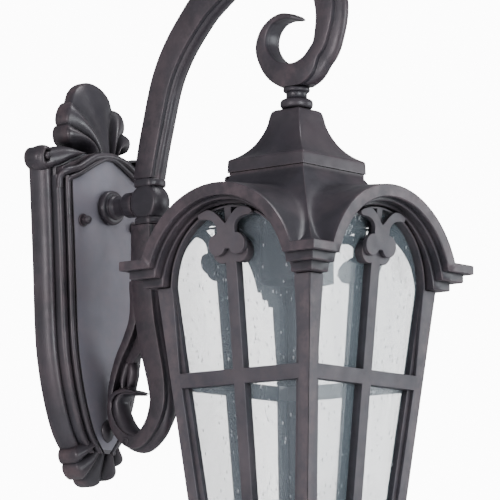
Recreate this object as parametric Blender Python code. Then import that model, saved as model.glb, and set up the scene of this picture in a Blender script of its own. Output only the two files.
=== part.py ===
"""Outdoor wall lantern: wall plate, scroll arm and hanging four-sided lantern.

Frame: +Z up, the wall is the plane y = 0 and the lantern stands out toward -Y.
The origin lies on the wall, midway between the two fixing studs. Lengths are in metres.
Every y below is measured from a datum plane, WALL_Y in front of the wall, and each
finished piece is moved by that much so that the wall comes to y = 0.
"""
import math

import bmesh
import bpy
from mathutils import Vector

# ---------------------------------------------------------------- driving dimensions
GAP = 0.0003                  # clearance between touching pieces
WALL_Y = 0.006                # the wall, measured from the datum plane
LANTERN_Y = -0.272            # lantern axis
ARM_Y = -0.0855               # axis of the hub and of the upright part of the arm
HUB_Z = 0.016                 # height of the hub and of the neck axis

PLATE_FRONT = -0.031          # flat panel of the wall plate
PLATE_TOP_Z = 0.067
PLATE_BOTTOM_Z = -0.226
STUD_X = 0.037

ARM_HALF_WIDTH = 0.011        # half thickness of the arm, across x
BEAD_HALF_WIDTH = 0.0062      # half width of the round bead on its edges

EAVE = 0.118                  # half width of the roof at the eave
EAVE_TOP_Z = -0.061
EAVE_BOTTOM_Z = -0.070
ARCH_Z = -0.0938              # common centre height of every arch
ARCH_OUTER = 0.0958
FASCIA_INNER = 0.084
STEPS = ((0.111, 0.081, -0.078), (0.102, 0.078, -0.086))  # half width, arch radius, foot height
ROOF_SKIN = 0.005
NECK_INNER = 0.0415           # square opening of the roof, half width
NECK_OUTER = 0.0450
NECK_TOP_Z = 0.0242
HIP_TOP_Z = 0.020
HIP_SLOPE = 1.6
RIDGE_RISE = 0.006

FRAME_TOP_Z = -0.0864
FRAME_BOTTOM_Z = -0.333
FRAME_TOP_HALF = 0.0928       # half width of the cage at FRAME_TOP_Z
FRAME_TAPER = 0.104           # half width lost per unit of height
FRAME_THICK = 0.009
POST_WIDTH = 0.018
MULLION_HALF = 0.0064
RAIL_TOP_Z = -0.1665
RAIL_BOTTOM_Z = -0.1803
FRAME_FOOT = 0.014            # height of the bottom rail
FRAME_ARCH_OUTER = 0.0766
FRAME_ARCH_INNER = 0.0745
GLASS_THICK = 0.003

CAP_BOTTOM_Z = 0.0245
CAP_TOP_Z = 0.0855
CAP_HALF = 0.0467
CAP_SKIRT_HALF = 0.0405
CAP_WALL = 0.003

NIPPLE_R = 0.005
NIPPLE_BORE = 0.0036
NIPPLE_HOLE = 0.0053
NUT_R = 0.0088                # across the corners of a locknut, from its axis
HEX_BORE = 0.0062             # corner radius of a six-sided bore that clears the tube
CUP_R = 0.03475
CUP_BOTTOM_Z = -0.079
CUP_TOP_Z = -0.012

ROUND = 20                    # sides of a round piece
SMALL_ROUND = 12


# ---------------------------------------------------------------- materials
def material(name, colour, roughness, metallic=0.0, transmission=0.0):
    """A plain Principled material in the finish of the part."""
    mat = bpy.data.materials.new(name)
    mat.use_nodes = True
    shader = mat.node_tree.nodes["Principled BSDF"]
    shader.inputs["Base Color"].default_value = (*colour, 1.0)
    shader.inputs["Roughness"].default_value = roughness
    shader.inputs["Metallic"].default_value = metallic
    shader.inputs["Transmission Weight"].default_value = transmission
    return mat


def make_materials():
    """Every finish used on the lantern, by its short name."""
    return {
        "bronze": material("bronze_paint", (0.060, 0.052, 0.060), 0.45, 0.3),
        "panel": material("plate_paint", (0.085, 0.078, 0.092), 0.5, 0.3),
        "glass": material("seeded_glass", (0.90, 0.94, 0.96), 0.08, 0.0, 0.9),
        "steel": material("zinc_steel", (0.55, 0.55, 0.56), 0.35, 1.0),
        "brass": material("brass", (0.70, 0.52, 0.22), 0.3, 1.0),
        "foam": material("black_foam", (0.02, 0.02, 0.02), 0.95),
        "porcelain": material("porcelain", (0.85, 0.84, 0.80), 0.25),
        "nylon": material("white_nylon", (0.80, 0.80, 0.78), 0.55),
    }


# ---------------------------------------------------------------- mesh helpers
def add_object(name, bm, mat, sharp=math.radians(32)):
    """Close the bmesh into a named object with its faces pointing out."""
    bmesh.ops.remove_doubles(bm, verts=bm.verts, dist=1e-6)
    bmesh.ops.recalc_face_normals(bm, faces=bm.faces)
    mesh = bpy.data.meshes.new(name)
    bm.to_mesh(mesh)
    bm.free()
    mesh.shade_smooth()
    mesh.set_sharp_from_angle(angle=sharp)
    if mat is not None:
        mesh.materials.append(mat)
    obj = bpy.data.objects.new(name, mesh)
    bpy.context.scene.collection.objects.link(obj)
    return obj


def bridge(bm, first, second, closed=True):
    """Quads between two rows of vertices; a row of one vertex makes a fan."""
    count = max(len(first), len(second))
    last = count if closed else count - 1
    for i in range(last):
        j = (i + 1) % count
        corners = [first[i % len(first)], first[j % len(first)]]
        corners += [second[j % len(second)], second[i % len(second)]]
        unique = list(dict.fromkeys(corners))
        if len(unique) > 2:
            bm.faces.new(unique)


def lathe(name, profile, mat, sides=ROUND, ring=False, turn=0.0):
    """Turn (radius, height) points about local Z. A ring profile closes on itself."""
    bm = bmesh.new()
    rows = []
    for radius, height in profile:
        if radius == 0.0:
            rows.append([bm.verts.new((0.0, 0.0, height))])
            continue
        angles = [turn + 2.0 * math.pi * i / sides for i in range(sides)]
        row = [bm.verts.new((radius * math.cos(a), radius * math.sin(a), height)) for a in angles]
        rows.append(row)
    for first, second in zip(rows, rows[1:]):
        bridge(bm, first, second)
    if ring:
        bridge(bm, rows[-1], rows[0])
    return add_object(name, bm, mat)


def square_lathe(name, profile, mat, ring=False):
    """Like lathe, with (half width, height) points around a square."""
    corner = [(half * math.sqrt(2.0), height) for half, height in profile]
    return lathe(name, corner, mat, sides=4, ring=ring, turn=math.pi / 4.0)


def box(name, low, high, mat):
    """Axis-aligned block between two corners."""
    bm = bmesh.new()
    bmesh.ops.create_cube(bm, size=1.0)
    for vert in bm.verts:
        for axis in range(3):
            middle = (low[axis] + high[axis]) / 2.0
            vert.co[axis] = middle + vert.co[axis] * (high[axis] - low[axis])
    return add_object(name, bm, mat)


def prism(bm, loops, place, front, back):
    """Extrude a flat outline with holes. place(a, b, depth) gives a point in space."""
    for depth in (front, back):
        edges = []
        for loop in loops:
            verts = [bm.verts.new(place(a, b, depth)) for a, b in loop]
            edges += [bm.edges.new((verts[i], verts[i - 1])) for i in range(len(verts))]
        bmesh.ops.triangle_fill(bm, use_beauty=True, use_dissolve=False, edges=edges)
    bm.verts.ensure_lookup_table()
    half = sum(len(loop) for loop in loops)
    start = 0
    for loop in loops:
        count = len(loop)
        for i in range(count):
            j = (i + 1) % count
            a, b = bm.verts[start + i], bm.verts[start + j]
            c, d = bm.verts[half + start + j], bm.verts[half + start + i]
            bm.faces.new((a, b, c, d))
        start += count


def arc(centre, radius, start, end, count):
    """Points along an arc, angles in degrees."""
    points = []
    for i in range(count + 1):
        angle = math.radians(start + (end - start) * i / count)
        points.append((centre[0] + radius * math.cos(angle), centre[1] + radius * math.sin(angle)))
    return points


def boolean(obj, tool, operation):
    """Cut or join with a second mesh, which stays as a hidden guide."""
    tool.hide_render = True
    tool.display_type = "WIRE"
    modifier = obj.modifiers.new(tool.name, "BOOLEAN")
    modifier.operation = operation
    modifier.solver = "EXACT"
    modifier.object = tool


def drill(obj, centre, radius, length, along, sides=SMALL_ROUND):
    """Cut a round hole centred on a point, along the x, y or z axis."""
    half = length / 2.0
    profile = [(0.0, half), (radius, half), (radius, -half), (0.0, -half)]
    tool = lathe(obj.name + "_drill_%d" % len(obj.modifiers), profile, None, sides)
    tool.location = centre
    turns = {"x": (0.0, math.pi / 2.0, 0.0), "y": (math.pi / 2.0, 0.0, 0.0), "z": (0.0, 0.0, 0.0)}
    tool.rotation_euler = turns[along]
    boolean(obj, tool, "DIFFERENCE")


def smooth_path(points, steps):
    """Catmull-Rom curve through rows of numbers, steps pieces to each gap."""
    rows = []
    for i in range(len(points) - 1):
        before = points[max(i - 1, 0)]
        here, there = points[i], points[i + 1]
        after = points[min(i + 2, len(points) - 1)]
        for step in range(steps):
            t = step / steps
            row = []
            for a, b, c, d in zip(before, here, there, after):
                bend = 2 * a - 5 * b + 4 * c - d
                twist = 3 * b - a - 3 * c + d
                row.append(0.5 * (2 * b + (c - a) * t + bend * t * t + twist * t * t * t))
            rows.append(row)
    rows.append(list(points[-1]))
    return rows


def bar_section(half, inner, outer):
    """Section of the arm: flat sides, and a round bead on each edge. Pairs (x, n)."""
    w, b = ARM_HALF_WIDTH, BEAD_HALF_WIDTH
    side = 0.72
    top = [(b, half), (b * side, half + outer * side), (0.0, half + outer)]
    top += [(-b * side, half + outer * side), (-b, half)]
    low = [(-b, -half), (-b * side, -half - inner * side), (0.0, -half - inner)]
    low += [(b * side, -half - inner * side), (b, -half)]
    return [(w, -half), (w, half)] + top + [(-w, half), (-w, -half)] + low


def sweep_bar(name, stations, mat, steps=2):
    """Sweep the arm section along (y, z, width, inner bead, outer bead); the start is level."""
    rows = smooth_path(stations, steps)
    bm = bmesh.new()
    rings = []
    for i, (y, z, width, inner, outer) in enumerate(rows):
        before, after = rows[max(i - 1, 0)], rows[min(i + 1, len(rows) - 1)]
        along_y, along_z = after[0] - before[0], after[1] - before[1]
        length = math.hypot(along_y, along_z)
        normal_y, normal_z = along_z / length, -along_y / length
        if i == 0:
            normal_y, normal_z = math.copysign(1.0, along_z), 0.0
        ring = []
        for x, n in bar_section(width / 2.0, inner, outer):
            ring.append(bm.verts.new((x, y + n * normal_y, z + n * normal_z)))
        rings.append(ring)
    for first, second in zip(rings, rings[1:]):
        bridge(bm, first, second)
    bm.faces.new(rings[0])
    bm.faces.new(reversed(rings[-1]))
    return add_object(name, bm, mat)


def turned_y(name, profile, mat, x=0.0, z=0.0, sides=ROUND, ring=False):
    """A turned piece whose axis runs out from the wall; its profile is (radius, y)."""
    obj = lathe(name, profile, mat, sides, ring)
    obj.rotation_euler = (-math.pi / 2.0, 0.0, 0.0)
    obj.location = (x, 0.0, z)
    return obj


def turned_z(name, profile, mat, sides=ROUND, ring=False):
    """A turned piece on the lantern axis; its profile is (radius, z)."""
    obj = lathe(name, profile, mat, sides, ring)
    obj.location = (0.0, LANTERN_Y, 0.0)
    return obj


def tube(outer, inner, low, high):
    """Ring profile of a plain tube between two heights."""
    return [(inner, low), (outer, low), (outer, high), (inner, high)]


# ---------------------------------------------------------------- wall plate
PLATE_WIDTHS = (              # (height, half width) down the plate
    (PLATE_TOP_Z, 0.0791), (-0.031, 0.0724), (-0.109, 0.0679), (-0.147, 0.0624),
    (-0.182, 0.0529), (-0.208, 0.0419), (PLATE_BOTTOM_Z, 0.0284),
)
PLATE_BACK_Y = 0.0037
PLATE_SECTION = (             # (distance in from the edge, y): roll, band, bead and panel
    (0.0, PLATE_BACK_Y), (0.0, -0.0040), (0.0020, -0.0130), (0.0060, -0.0174), (0.0098, -0.0168),
    (0.0104, -0.0240), (0.0135, -0.0264), (0.0180, -0.0254), (0.0190, -0.0270), (0.0210, -0.0312),
    (0.0235, -0.0300), (0.0244, -0.0287), (0.0252, PLATE_FRONT),
)
RIM_WALL = 0.004
HOLLOW_SECTION = (            # (distance in from the rim wall, y) of the hollow behind
    (0.0, 0.0100), (0.0, -0.0040), (0.0020, -0.0115), (0.0065, -0.0130), (0.0095, -0.0200),
    (0.0190, -0.0230), (0.0235, -0.0275),
)
HEADER_FRONT = -0.0322
HEADER = (                    # right half of the ogee header, (x, z)
    (0.0, 0.0655), (0.0074, 0.0643), (0.0168, 0.0600), (0.0240, 0.0562), (0.0330, 0.0512), (0.0452, 0.0442),
    (0.0575, 0.0385), (0.0640, 0.0420), (0.0640, 0.0500), (0.0355, 0.0640), (0.0175, 0.0695), (0.0, 0.0675),
)
SHOULDER = (                  # (x, z, half height, front y) of the leaf from its tip to the scroll's head
    (0.0372, 0.0664, 0.0008, -0.0335), (0.0437, 0.0655, 0.0050, -0.0320), (0.0511, 0.0646, 0.0086, -0.0295),
    (0.0613, 0.0610, 0.0112, -0.0235), (0.0700, 0.0592, 0.0116, -0.0180),
)
SCROLL_HEAD = (0.0738, 0.0600)
TOP_RIBS = (                  # between the petals, middle first: (base x, bend x, bend z, tip x, tip z, tip y)
    (0.0055, 0.0120, 0.0980, 0.0295, 0.1215, -0.0075),
    (0.0105, 0.0150, 0.0860, 0.0400, 0.0975, -0.0130),
    (0.0160, 0.0150, 0.0830, 0.0385, 0.0770, -0.0165),
)
TOP_PETALS = ((0.0235, -0.0020), (0.0055, -0.0105), (0.0060, -0.0150))  # middle first: (bulge, tip y)
BOTTOM_RIBS = (
    (0.0045, 0.0055, -0.2320, 0.0130, -0.2500, -0.0110),
    (0.0090, 0.0110, -0.2225, 0.0275, -0.2362, -0.0165),
    (0.0130, 0.0170, -0.2120, 0.0300, -0.2205, -0.0175),
)
BOTTOM_PETALS = ((0.0075, -0.0060), (0.0055, -0.0150), (0.0050, -0.0175))
SHELL_ROWS = (                # (share of the petal's length, swell, drop of the edge)
    (0.0, 0.0020, 0.0), (0.35, 0.0042, 0.0), (0.75, 0.0040, 0.0), (0.97, 0.0026, 0.0), (1.0, 0.0012, 0.0014),
)


def plate_body(name, inset, mat, section=PLATE_SECTION):
    """Loft the long body of the plate; an inset makes the hollow behind it."""
    bm = bmesh.new()
    rings = []
    for z, half in smooth_path(PLATE_WIDTHS, 2):
        squeeze = min(1.0, (half - 0.004) / section[-1][0])
        side = [(half - inset - d * squeeze, y) for d, y in section]
        points = side + [(-x, y) for x, y in reversed(side)]
        rings.append([bm.verts.new((x, y, z)) for x, y in points])
    for first, second in zip(rings, rings[1:]):
        bridge(bm, first, second)
    bm.faces.new(rings[0])
    bm.faces.new(reversed(rings[-1]))
    return add_object(name, bm, mat)


def rib_samples(ribs, petals):
    """Sample the ribs and petals across the shell: (base, bend, tip, tip y, swell)."""
    left = [(-base, -bend, bend_z, -tip, tip_z, tip_y) for base, bend, bend_z, tip, tip_z, tip_y in reversed(ribs)]
    whole = left + list(ribs)
    swells = list(reversed(petals)) + list(petals[1:])
    samples = []
    for k, (bulge, tip_y) in enumerate(swells):
        first, last = whole[k], whole[k + 1]
        chord = Vector((last[3] - first[3], last[4] - first[4])).normalized()
        out = Vector((-chord.y, chord.x)) * (1.0 if ribs[0][4] > 0.0 else -1.0)
        for i in range(4):
            u = i / 2.0 - 1.0
            mid = [a + (b - a) * i / 4.0 for a, b in zip(first, last)]
            swell = 1.0 - u * u
            tip = Vector((mid[3], mid[4])) + out * bulge * swell ** 0.6
            drop = mid[5] + (tip_y - (first[5] + last[5]) / 2.0) * swell
            samples.append((mid[0], (mid[1], mid[2]), tip, drop, swell))
    last = whole[-1]
    samples.append((last[0], (last[1], last[2]), Vector((last[3], last[4])), last[5], 0.0))
    return samples


def shell_fan(name, base_z, base_y, ribs, petals):
    """Five-petalled shell that leans back to the wall from its base."""
    bm = bmesh.new()
    samples = rib_samples(ribs, petals)
    rows = []
    for share, ridge, edge in SHELL_ROWS:
        row = []
        for base_x, bend, tip, tip_y, swell in samples:
            near, far = (1.0 - share) ** 2, share ** 2
            middle = 1.0 - near - far
            x = near * base_x + middle * bend[0] + far * tip.x
            z = near * base_z + middle * bend[1] + far * tip.y
            y = base_y + (tip_y - base_y) * share - ridge * swell + edge
            row.append(bm.verts.new((x, y, z)))
        rows.append(row)
    back = PLATE_BACK_Y - GAP
    foot = [bm.verts.new((v.co.x, back, v.co.z)) for v in rows[0]]
    rim = [bm.verts.new((v.co.x, back, v.co.z)) for v in rows[-1]]
    rows = [foot] + rows + [rim]
    for first, second in zip(rows, rows[1:] + rows[:1]):
        bridge(bm, first, second, closed=False)
    for side in (0, -1):
        edge = [row[side] for row in rows]
        for first, second in zip(edge[1:], edge[2:]):
            bm.faces.new((edge[0], first, second))
    bmesh.ops.triangulate(bm, faces=bm.faces)
    return add_object(name, bm, None)


def shoulder(name, side):
    """Leaf that runs from the scroll's head in to the foot of the shell."""
    bm = bmesh.new()
    rings = []
    back = PLATE_BACK_Y - 2.0 * GAP
    for x, z, half, front in SHOULDER:
        ridge = ((-1.0, back), (-1.0, front + 0.0050), (-0.6, front + 0.0014), (0.0, front),
                 (0.6, front + 0.0014), (1.0, front + 0.0050), (1.0, back))
        rings.append([bm.verts.new((side * x, y, z + share * half)) for share, y in ridge])
    for first, second in zip(rings, rings[1:]):
        bridge(bm, first, second)
    bm.faces.new(rings[0])
    bm.faces.new(reversed(rings[-1]))
    bmesh.ops.triangulate(bm, faces=bm.faces)
    return add_object(name, bm, None)


def make_plate(mats):
    """Cast wall plate: beaded body, two shells, two shoulder scrolls, hollow behind."""
    plate = plate_body("backplate", 0.0, mats["panel"])
    boolean(plate, shell_fan("shell_top", 0.0640, -0.0275, TOP_RIBS, TOP_PETALS), "UNION")
    boolean(plate, shell_fan("shell_bottom", -0.2085, -0.0265, BOTTOM_RIBS, BOTTOM_PETALS), "UNION")
    bm = bmesh.new()
    outline = list(HEADER) + [(-x, z) for x, z in HEADER[-2:0:-1]]
    prism(bm, [outline], lambda a, b, depth: (a, depth, b), HEADER_FRONT, 0.0028)
    boolean(plate, add_object("header", bm, None), "UNION")
    x, z = SCROLL_HEAD
    scroll = [(0.0, 0.0025), (0.0114, 0.0025), (0.0114, -0.0100), (0.0098, -0.0150), (0.0062, -0.0166),
              (0.0046, -0.0162), (0.0036, -0.0192), (0.0, -0.0204)]
    for name, side in (("left", -1.0), ("right", 1.0)):
        boolean(plate, shoulder("shoulder_" + name, side), "UNION")
        boolean(plate, turned_y("scroll_" + name, scroll, None, side * x, z, 18), "UNION")
    hollow = plate_body("plate_hollow", RIM_WALL, None, HOLLOW_SECTION)
    hollow.scale = (1.0, 1.0, 0.93)
    boolean(plate, hollow, "DIFFERENCE")
    for x in (-STUD_X, STUD_X):
        drill(plate, (x, PLATE_FRONT, 0.0), 0.0024, 0.02, "y")
    drill(plate, (0.0, PLATE_FRONT, HUB_Z), NIPPLE_HOLE, 0.02, "y")


def make_gasket(mats):
    """Foam strip that seals the rim of the plate against the wall."""
    bm = bmesh.new()
    loops = []
    for inset in (0.004, 0.016):
        side = [(half - inset, z * (1.0 - inset)) for z, half in PLATE_WIDTHS]
        loops.append(side + [(-x, z) for x, z in reversed(side)])
    prism(bm, loops, lambda a, b, depth: (a, depth, b), WALL_Y - 0.0020, WALL_Y)
    add_object("wall_gasket", bm, mats["foam"])


def make_wall_fixing(mats):
    """Steel strap on the wall with its studs, and what is fitted behind the plate."""
    strap = box("wall_bracket", (-0.0535, 0.0030, -0.013), (0.0535, WALL_Y, 0.013), mats["steel"])
    for x in (-0.047, 0.047):
        low, high = (x - 0.0045, -0.01, -0.0026), (x + 0.0045, 0.02, 0.0026)
        slot = box("slot_%+d" % round(x * 1000), low, high, None)
        boolean(strap, slot, "DIFFERENCE")
    drill(strap, (-0.012, WALL_Y, 0.0), 0.0021, 0.02, "y")
    earth = [(0.0, 0.0056), (0.0018, 0.0056), (0.0018, 0.0027), (0.0040, 0.0027), (0.0036, 0.0005), (0.0, 0.0002)]
    turned_y("earth_screw", earth, mats["brass"], -0.012, 0.0, SMALL_ROUND)
    stud = [(0.0, 0.0027), (0.0045, 0.0027), (0.0045, 0.0010), (0.0020, 0.0010), (0.0020, -0.0390), (0.0, -0.0394)]
    washer = tube(0.0060, 0.0024, -0.0324, -0.0313)
    nut = [(0.0023, -0.0327), (0.0044, -0.0327), (0.0044, -0.0365), (0.0042, -0.0380), (0.0032, -0.0402),
           (0.0017, -0.0413), (0.0, -0.0416), (0.0, -0.0400), (0.0023, -0.0400)]
    for side, x in (("left", -STUD_X), ("right", STUD_X)):
        turned_y("stud_" + side, stud, mats["steel"], x, 0.0, SMALL_ROUND)
        turned_y("nut_washer_" + side, washer, mats["bronze"], x, 0.0, 16, ring=True)
        turned_y("dome_nut_" + side, nut, mats["bronze"], x, 0.0, SMALL_ROUND, ring=True)
    box("terminal_block", (-0.016, -0.0272, -0.078), (0.016, -0.0140, -0.060), mats["nylon"])


# ---------------------------------------------------------------- arm
UPPER_ARM = (                 # (y, z, width, inner bead, outer bead) up from the hub
    (-0.0850, 0.0391, 0.0230, 0.0040, 0.0030), (-0.0895, 0.0620, 0.0235, 0.0045, 0.0035),
    (-0.0952, 0.0860, 0.0240, 0.0045, 0.0035), (-0.1075, 0.1305, 0.0245, 0.0045, 0.0035),
    (-0.1230, 0.1607, 0.0255, 0.0045, 0.0035), (-0.1445, 0.1875, 0.0265, 0.0045, 0.0035),
    (-0.1650, 0.2065, 0.0275, 0.0045, 0.0035), (-0.2077, 0.2315, 0.0270, 0.0045, 0.0040),
    (-0.2552, 0.2399, 0.0265, 0.0040, 0.0050), (-0.2962, 0.2229, 0.0245, 0.0030, 0.0075),
    (-0.3132, 0.1820, 0.0215, 0.0025, 0.0105),
)
HOOK_CENTRE = (-0.269, 0.155)
HOOK = (                      # (angle, radius, width, inner bead, outer bead) about the hook's eye
    (190, 0.0405, 0.0155, 0.0020, 0.0120), (213, 0.0370, 0.0140, 0.0020, 0.0120),
    (235, 0.0386, 0.0210, 0.0020, 0.0070), (255, 0.0386, 0.0235, 0.0020, 0.0020),
    (275, 0.0370, 0.0235, 0.0020, 0.0010), (300, 0.0351, 0.0198, 0.0020, 0.0020),
    (325, 0.0339, 0.0157, 0.0020, 0.0025), (350, 0.0334, 0.0130, 0.0020, 0.0025),
    (375, 0.0305, 0.0090, 0.0020, 0.0020), (400, 0.0265, 0.0050, 0.0015, 0.0015),
    (430, 0.0225, 0.0035, 0.0010, 0.0010), (460, 0.0208, 0.0025, 0.0008, 0.0008),
    (486, 0.0210, 0.0015, 0.0005, 0.0005),
)
LOWER_SCROLL = (
    (-0.0825, -0.0064, 0.0240, 0.0030, 0.0030), (-0.0830, -0.0350, 0.0255, 0.0025, 0.0030),
    (-0.0840, -0.0640, 0.0260, 0.0020, 0.0030), (-0.0885, -0.0980, 0.0245, 0.0020, 0.0030),
    (-0.0940, -0.1240, 0.0245, 0.0020, 0.0030), (-0.1020, -0.1540, 0.0225, 0.0020, 0.0030),
    (-0.1053, -0.1760, 0.0196, 0.0020, 0.0035), (-0.1028, -0.1900, 0.0185, 0.0020, 0.0050),
    (-0.0960, -0.2030, 0.0160, 0.0020, 0.0075), (-0.0830, -0.2150, 0.0135, 0.0020, 0.0060),
    (-0.0690, -0.2180, 0.0135, 0.0020, 0.0030), (-0.0560, -0.2120, 0.0130, 0.0020, 0.0020),
    (-0.0457, -0.1990, 0.0096, 0.0020, 0.0020), (-0.0435, -0.1800, 0.0090, 0.0020, 0.0020),
    (-0.0500, -0.1690, 0.0055, 0.0015, 0.0015), (-0.0590, -0.1660, 0.0040, 0.0010, 0.0010),
    (-0.0700, -0.1660, 0.0025, 0.0008, 0.0008), (-0.0860, -0.1710, 0.0015, 0.0005, 0.0005),
)
SCROLL_LEAF = (
    (-0.0440, -0.1860, 0.0085, 0.0010, 0.0020), (-0.0452, -0.1550, 0.0100, 0.0010, 0.0020),
    (-0.0530, -0.1360, 0.0100, 0.0010, 0.0020), (-0.0640, -0.1140, 0.0095, 0.0010, 0.0020),
    (-0.0715, -0.0930, 0.0080, 0.0010, 0.0020), (-0.0735, -0.0740, 0.0060, 0.0010, 0.0015),
)
SCROLL_BUD = (
    (-0.0560, -0.1330, 0.0060, 0.0005, 0.0005), (-0.0665, -0.1430, 0.0110, 0.0005, 0.0005),
    (-0.0700, -0.1530, 0.0090, 0.0005, 0.0005), (-0.0690, -0.1665, 0.0040, 0.0005, 0.0005),
)
HUB_RINGS = (                 # (height, radius, flat half width)
    (-0.0060, 0.0130, 0.0112), (-0.0045, 0.0146, 0.0122), (-0.0005, 0.0146, 0.0122), (0.0010, 0.0130, 0.0112),
    (0.0024, 0.0140, 0.0112), (0.0060, 0.0167, 0.0114), (0.0110, 0.0188, 0.0116), (0.0160, 0.0195, 0.0118),
    (0.0210, 0.0188, 0.0116), (0.0260, 0.0167, 0.0114), (0.0296, 0.0140, 0.0112),
    (0.0310, 0.0132, 0.0112), (0.0325, 0.0152, 0.0126), (0.0370, 0.0152, 0.0126), (0.0387, 0.0135, 0.0112),
)
HOOK_SEAT_Z = 0.1071
GRUB_PLACE = (-0.0092, -0.0940, 0.0950)    # inner end of the grub screw
PLUG_PLACE = (-0.0112, -0.0650, -0.2165)   # outer end of the round plug


def hook_station(angle, radius, width, inner, outer):
    """Turn a place given around the hook's eye into an arm station."""
    turn = math.radians(angle)
    y = HOOK_CENTRE[0] + radius * math.cos(turn)
    z = HOOK_CENTRE[1] + radius * math.sin(turn)
    return (y, z, width, inner, outer)


def make_arm(mats):
    """The arched upper arm that ends in the hook and its curl."""
    stations = UPPER_ARM + tuple(hook_station(*row) for row in HOOK)
    arm = sweep_bar("upper_arm", stations, mats["bronze"])
    seat = box("hook_seat", (-0.03, LANTERN_Y - 0.03, 0.08), (0.03, LANTERN_Y + 0.03, HOOK_SEAT_Z), None)
    boolean(arm, seat, "DIFFERENCE")
    drill(arm, (0.0, LANTERN_Y, HOOK_SEAT_Z), NIPPLE_HOLE, 0.017, "z")
    drill(arm, (-ARM_HALF_WIDTH, GRUB_PLACE[1], GRUB_PLACE[2]), 0.0023, 0.014, "x")
    shank = [(0.0, 0.0), (0.0020, 0.0), (0.0020, 0.0050), (0.0, 0.0050)]
    grub = lathe("arm_grub_screw", shank, mats["steel"], SMALL_ROUND)
    grub.location = GRUB_PLACE
    grub.rotation_euler = (0.0, math.pi / 2.0, 0.0)


def make_hub(mats):
    """Rounded block between the arm and the lower scroll, with a collar at each end."""
    bm = bmesh.new()
    rings = []
    for z, radius, flat in HUB_RINGS:
        ring = []
        for i in range(ROUND):
            angle = 2.0 * math.pi * (i + 0.5) / ROUND
            x = max(-flat, min(flat, radius * math.cos(angle)))
            ring.append(bm.verts.new((x, ARM_Y + radius * math.sin(angle), z)))
        rings.append(ring)
    for first, second in zip(rings, rings[1:]):
        bridge(bm, first, second)
    bm.faces.new(rings[0])
    bm.faces.new(reversed(rings[-1]))
    hub = add_object("arm_hub", bm, mats["bronze"])
    drill(hub, (0.0, -0.066, HUB_Z), NIPPLE_HOLE, 0.022, "y")


def make_neck(mats):
    """Turned neck from the plate to the hub, with its threaded tube and locknut."""
    bore = NIPPLE_HOLE
    neck = [(bore, -0.0313), (0.0150, -0.0313), (0.0168, -0.0330), (0.0168, -0.0370), (0.0150, -0.0392),
            (0.0118, -0.0398), (0.0112, -0.0430), (0.0095, -0.0445), (0.0093, -0.0545), (0.0114, -0.0565),
            (0.0125, -0.0600), (0.0122, -0.0698), (0.0090, -0.0678), (bore, -0.0664)]
    turned_y("arm_neck", neck, mats["bronze"], 0.0, HUB_Z, ring=True)
    turned_y("arm_nipple", tube(NIPPLE_R, NIPPLE_BORE, -0.0760, -0.0180), mats["steel"], 0.0, HUB_Z, 16, True)
    turned_y("arm_locknut", tube(NUT_R, HEX_BORE, -0.0272, -0.0232), mats["steel"], 0.0, HUB_Z, 6, True)


def make_lower_scroll(mats):
    """J scroll below the hub, with the leaf that closes its loop and the bud inside it."""
    scroll = sweep_bar("lower_scroll", LOWER_SCROLL, mats["bronze"])
    boolean(scroll, sweep_bar("scroll_leaf", SCROLL_LEAF, None), "UNION")
    boolean(scroll, sweep_bar("scroll_bud", SCROLL_BUD, None), "UNION")
    drill(scroll, (-ARM_HALF_WIDTH, PLUG_PLACE[1], PLUG_PLACE[2]), 0.0045, 0.008, "x")
    disc = [(0.0, 0.0), (0.0042, 0.0), (0.0042, 0.0038), (0.0, 0.0038)]
    plug = lathe("scroll_plug", disc, mats["bronze"], SMALL_ROUND)
    plug.location = PLUG_PLACE
    plug.rotation_euler = (0.0, math.pi / 2.0, 0.0)


# ---------------------------------------------------------------- cap and lamp holder
def make_cap(mats):
    """Square cap with rounded shoulders and a skirt that the roof slides up around."""
    profile = [(0.0, CAP_TOP_Z), (0.0106, CAP_TOP_Z), (0.0168, 0.0827), (0.0189, 0.0775), (0.0210, 0.0678),
               (0.0257, 0.0556), (0.0325, 0.0466), (0.0400, 0.0397), (0.0450, 0.0365), (CAP_HALF, 0.0352),
               (CAP_HALF, CAP_BOTTOM_Z), (CAP_SKIRT_HALF, CAP_BOTTOM_Z), (CAP_SKIRT_HALF, 0.0080),
               (CAP_SKIRT_HALF - CAP_WALL, 0.0080), (CAP_SKIRT_HALF - CAP_WALL, 0.0340), (0.0295, 0.0450),
               (0.0220, 0.0560), (0.0165, 0.0740), (0.0, 0.0815)]
    cap = square_lathe("cap", profile, mats["bronze"])
    cap.location = (0.0, LANTERN_Y, 0.0)
    drill(cap, (0.0, LANTERN_Y, CAP_TOP_Z), NIPPLE_HOLE, 0.02, "z", 16)
    spindle = [(NIPPLE_HOLE, 0.1068), (0.0110, 0.1068), (0.01275, 0.1055), (0.01275, 0.1030), (0.0108, 0.1018),
               (0.0100, 0.1005), (0.0100, 0.0968), (0.0125, 0.0955), (0.0150, 0.0938), (0.0156, 0.0905),
               (0.0148, 0.0878), (0.0125, 0.0858), (NIPPLE_HOLE, 0.0858)]
    turned_z("hanger_spindle", spindle, mats["bronze"], ring=True)
    turned_z("hanger_nipple", tube(NIPPLE_R, NIPPLE_BORE, -0.0210, 0.1150), mats["steel"], 16, True)
    turned_z("hanger_locknut", tube(NUT_R, HEX_BORE, 0.0700, 0.0740), mats["steel"], 6, True)


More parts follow.
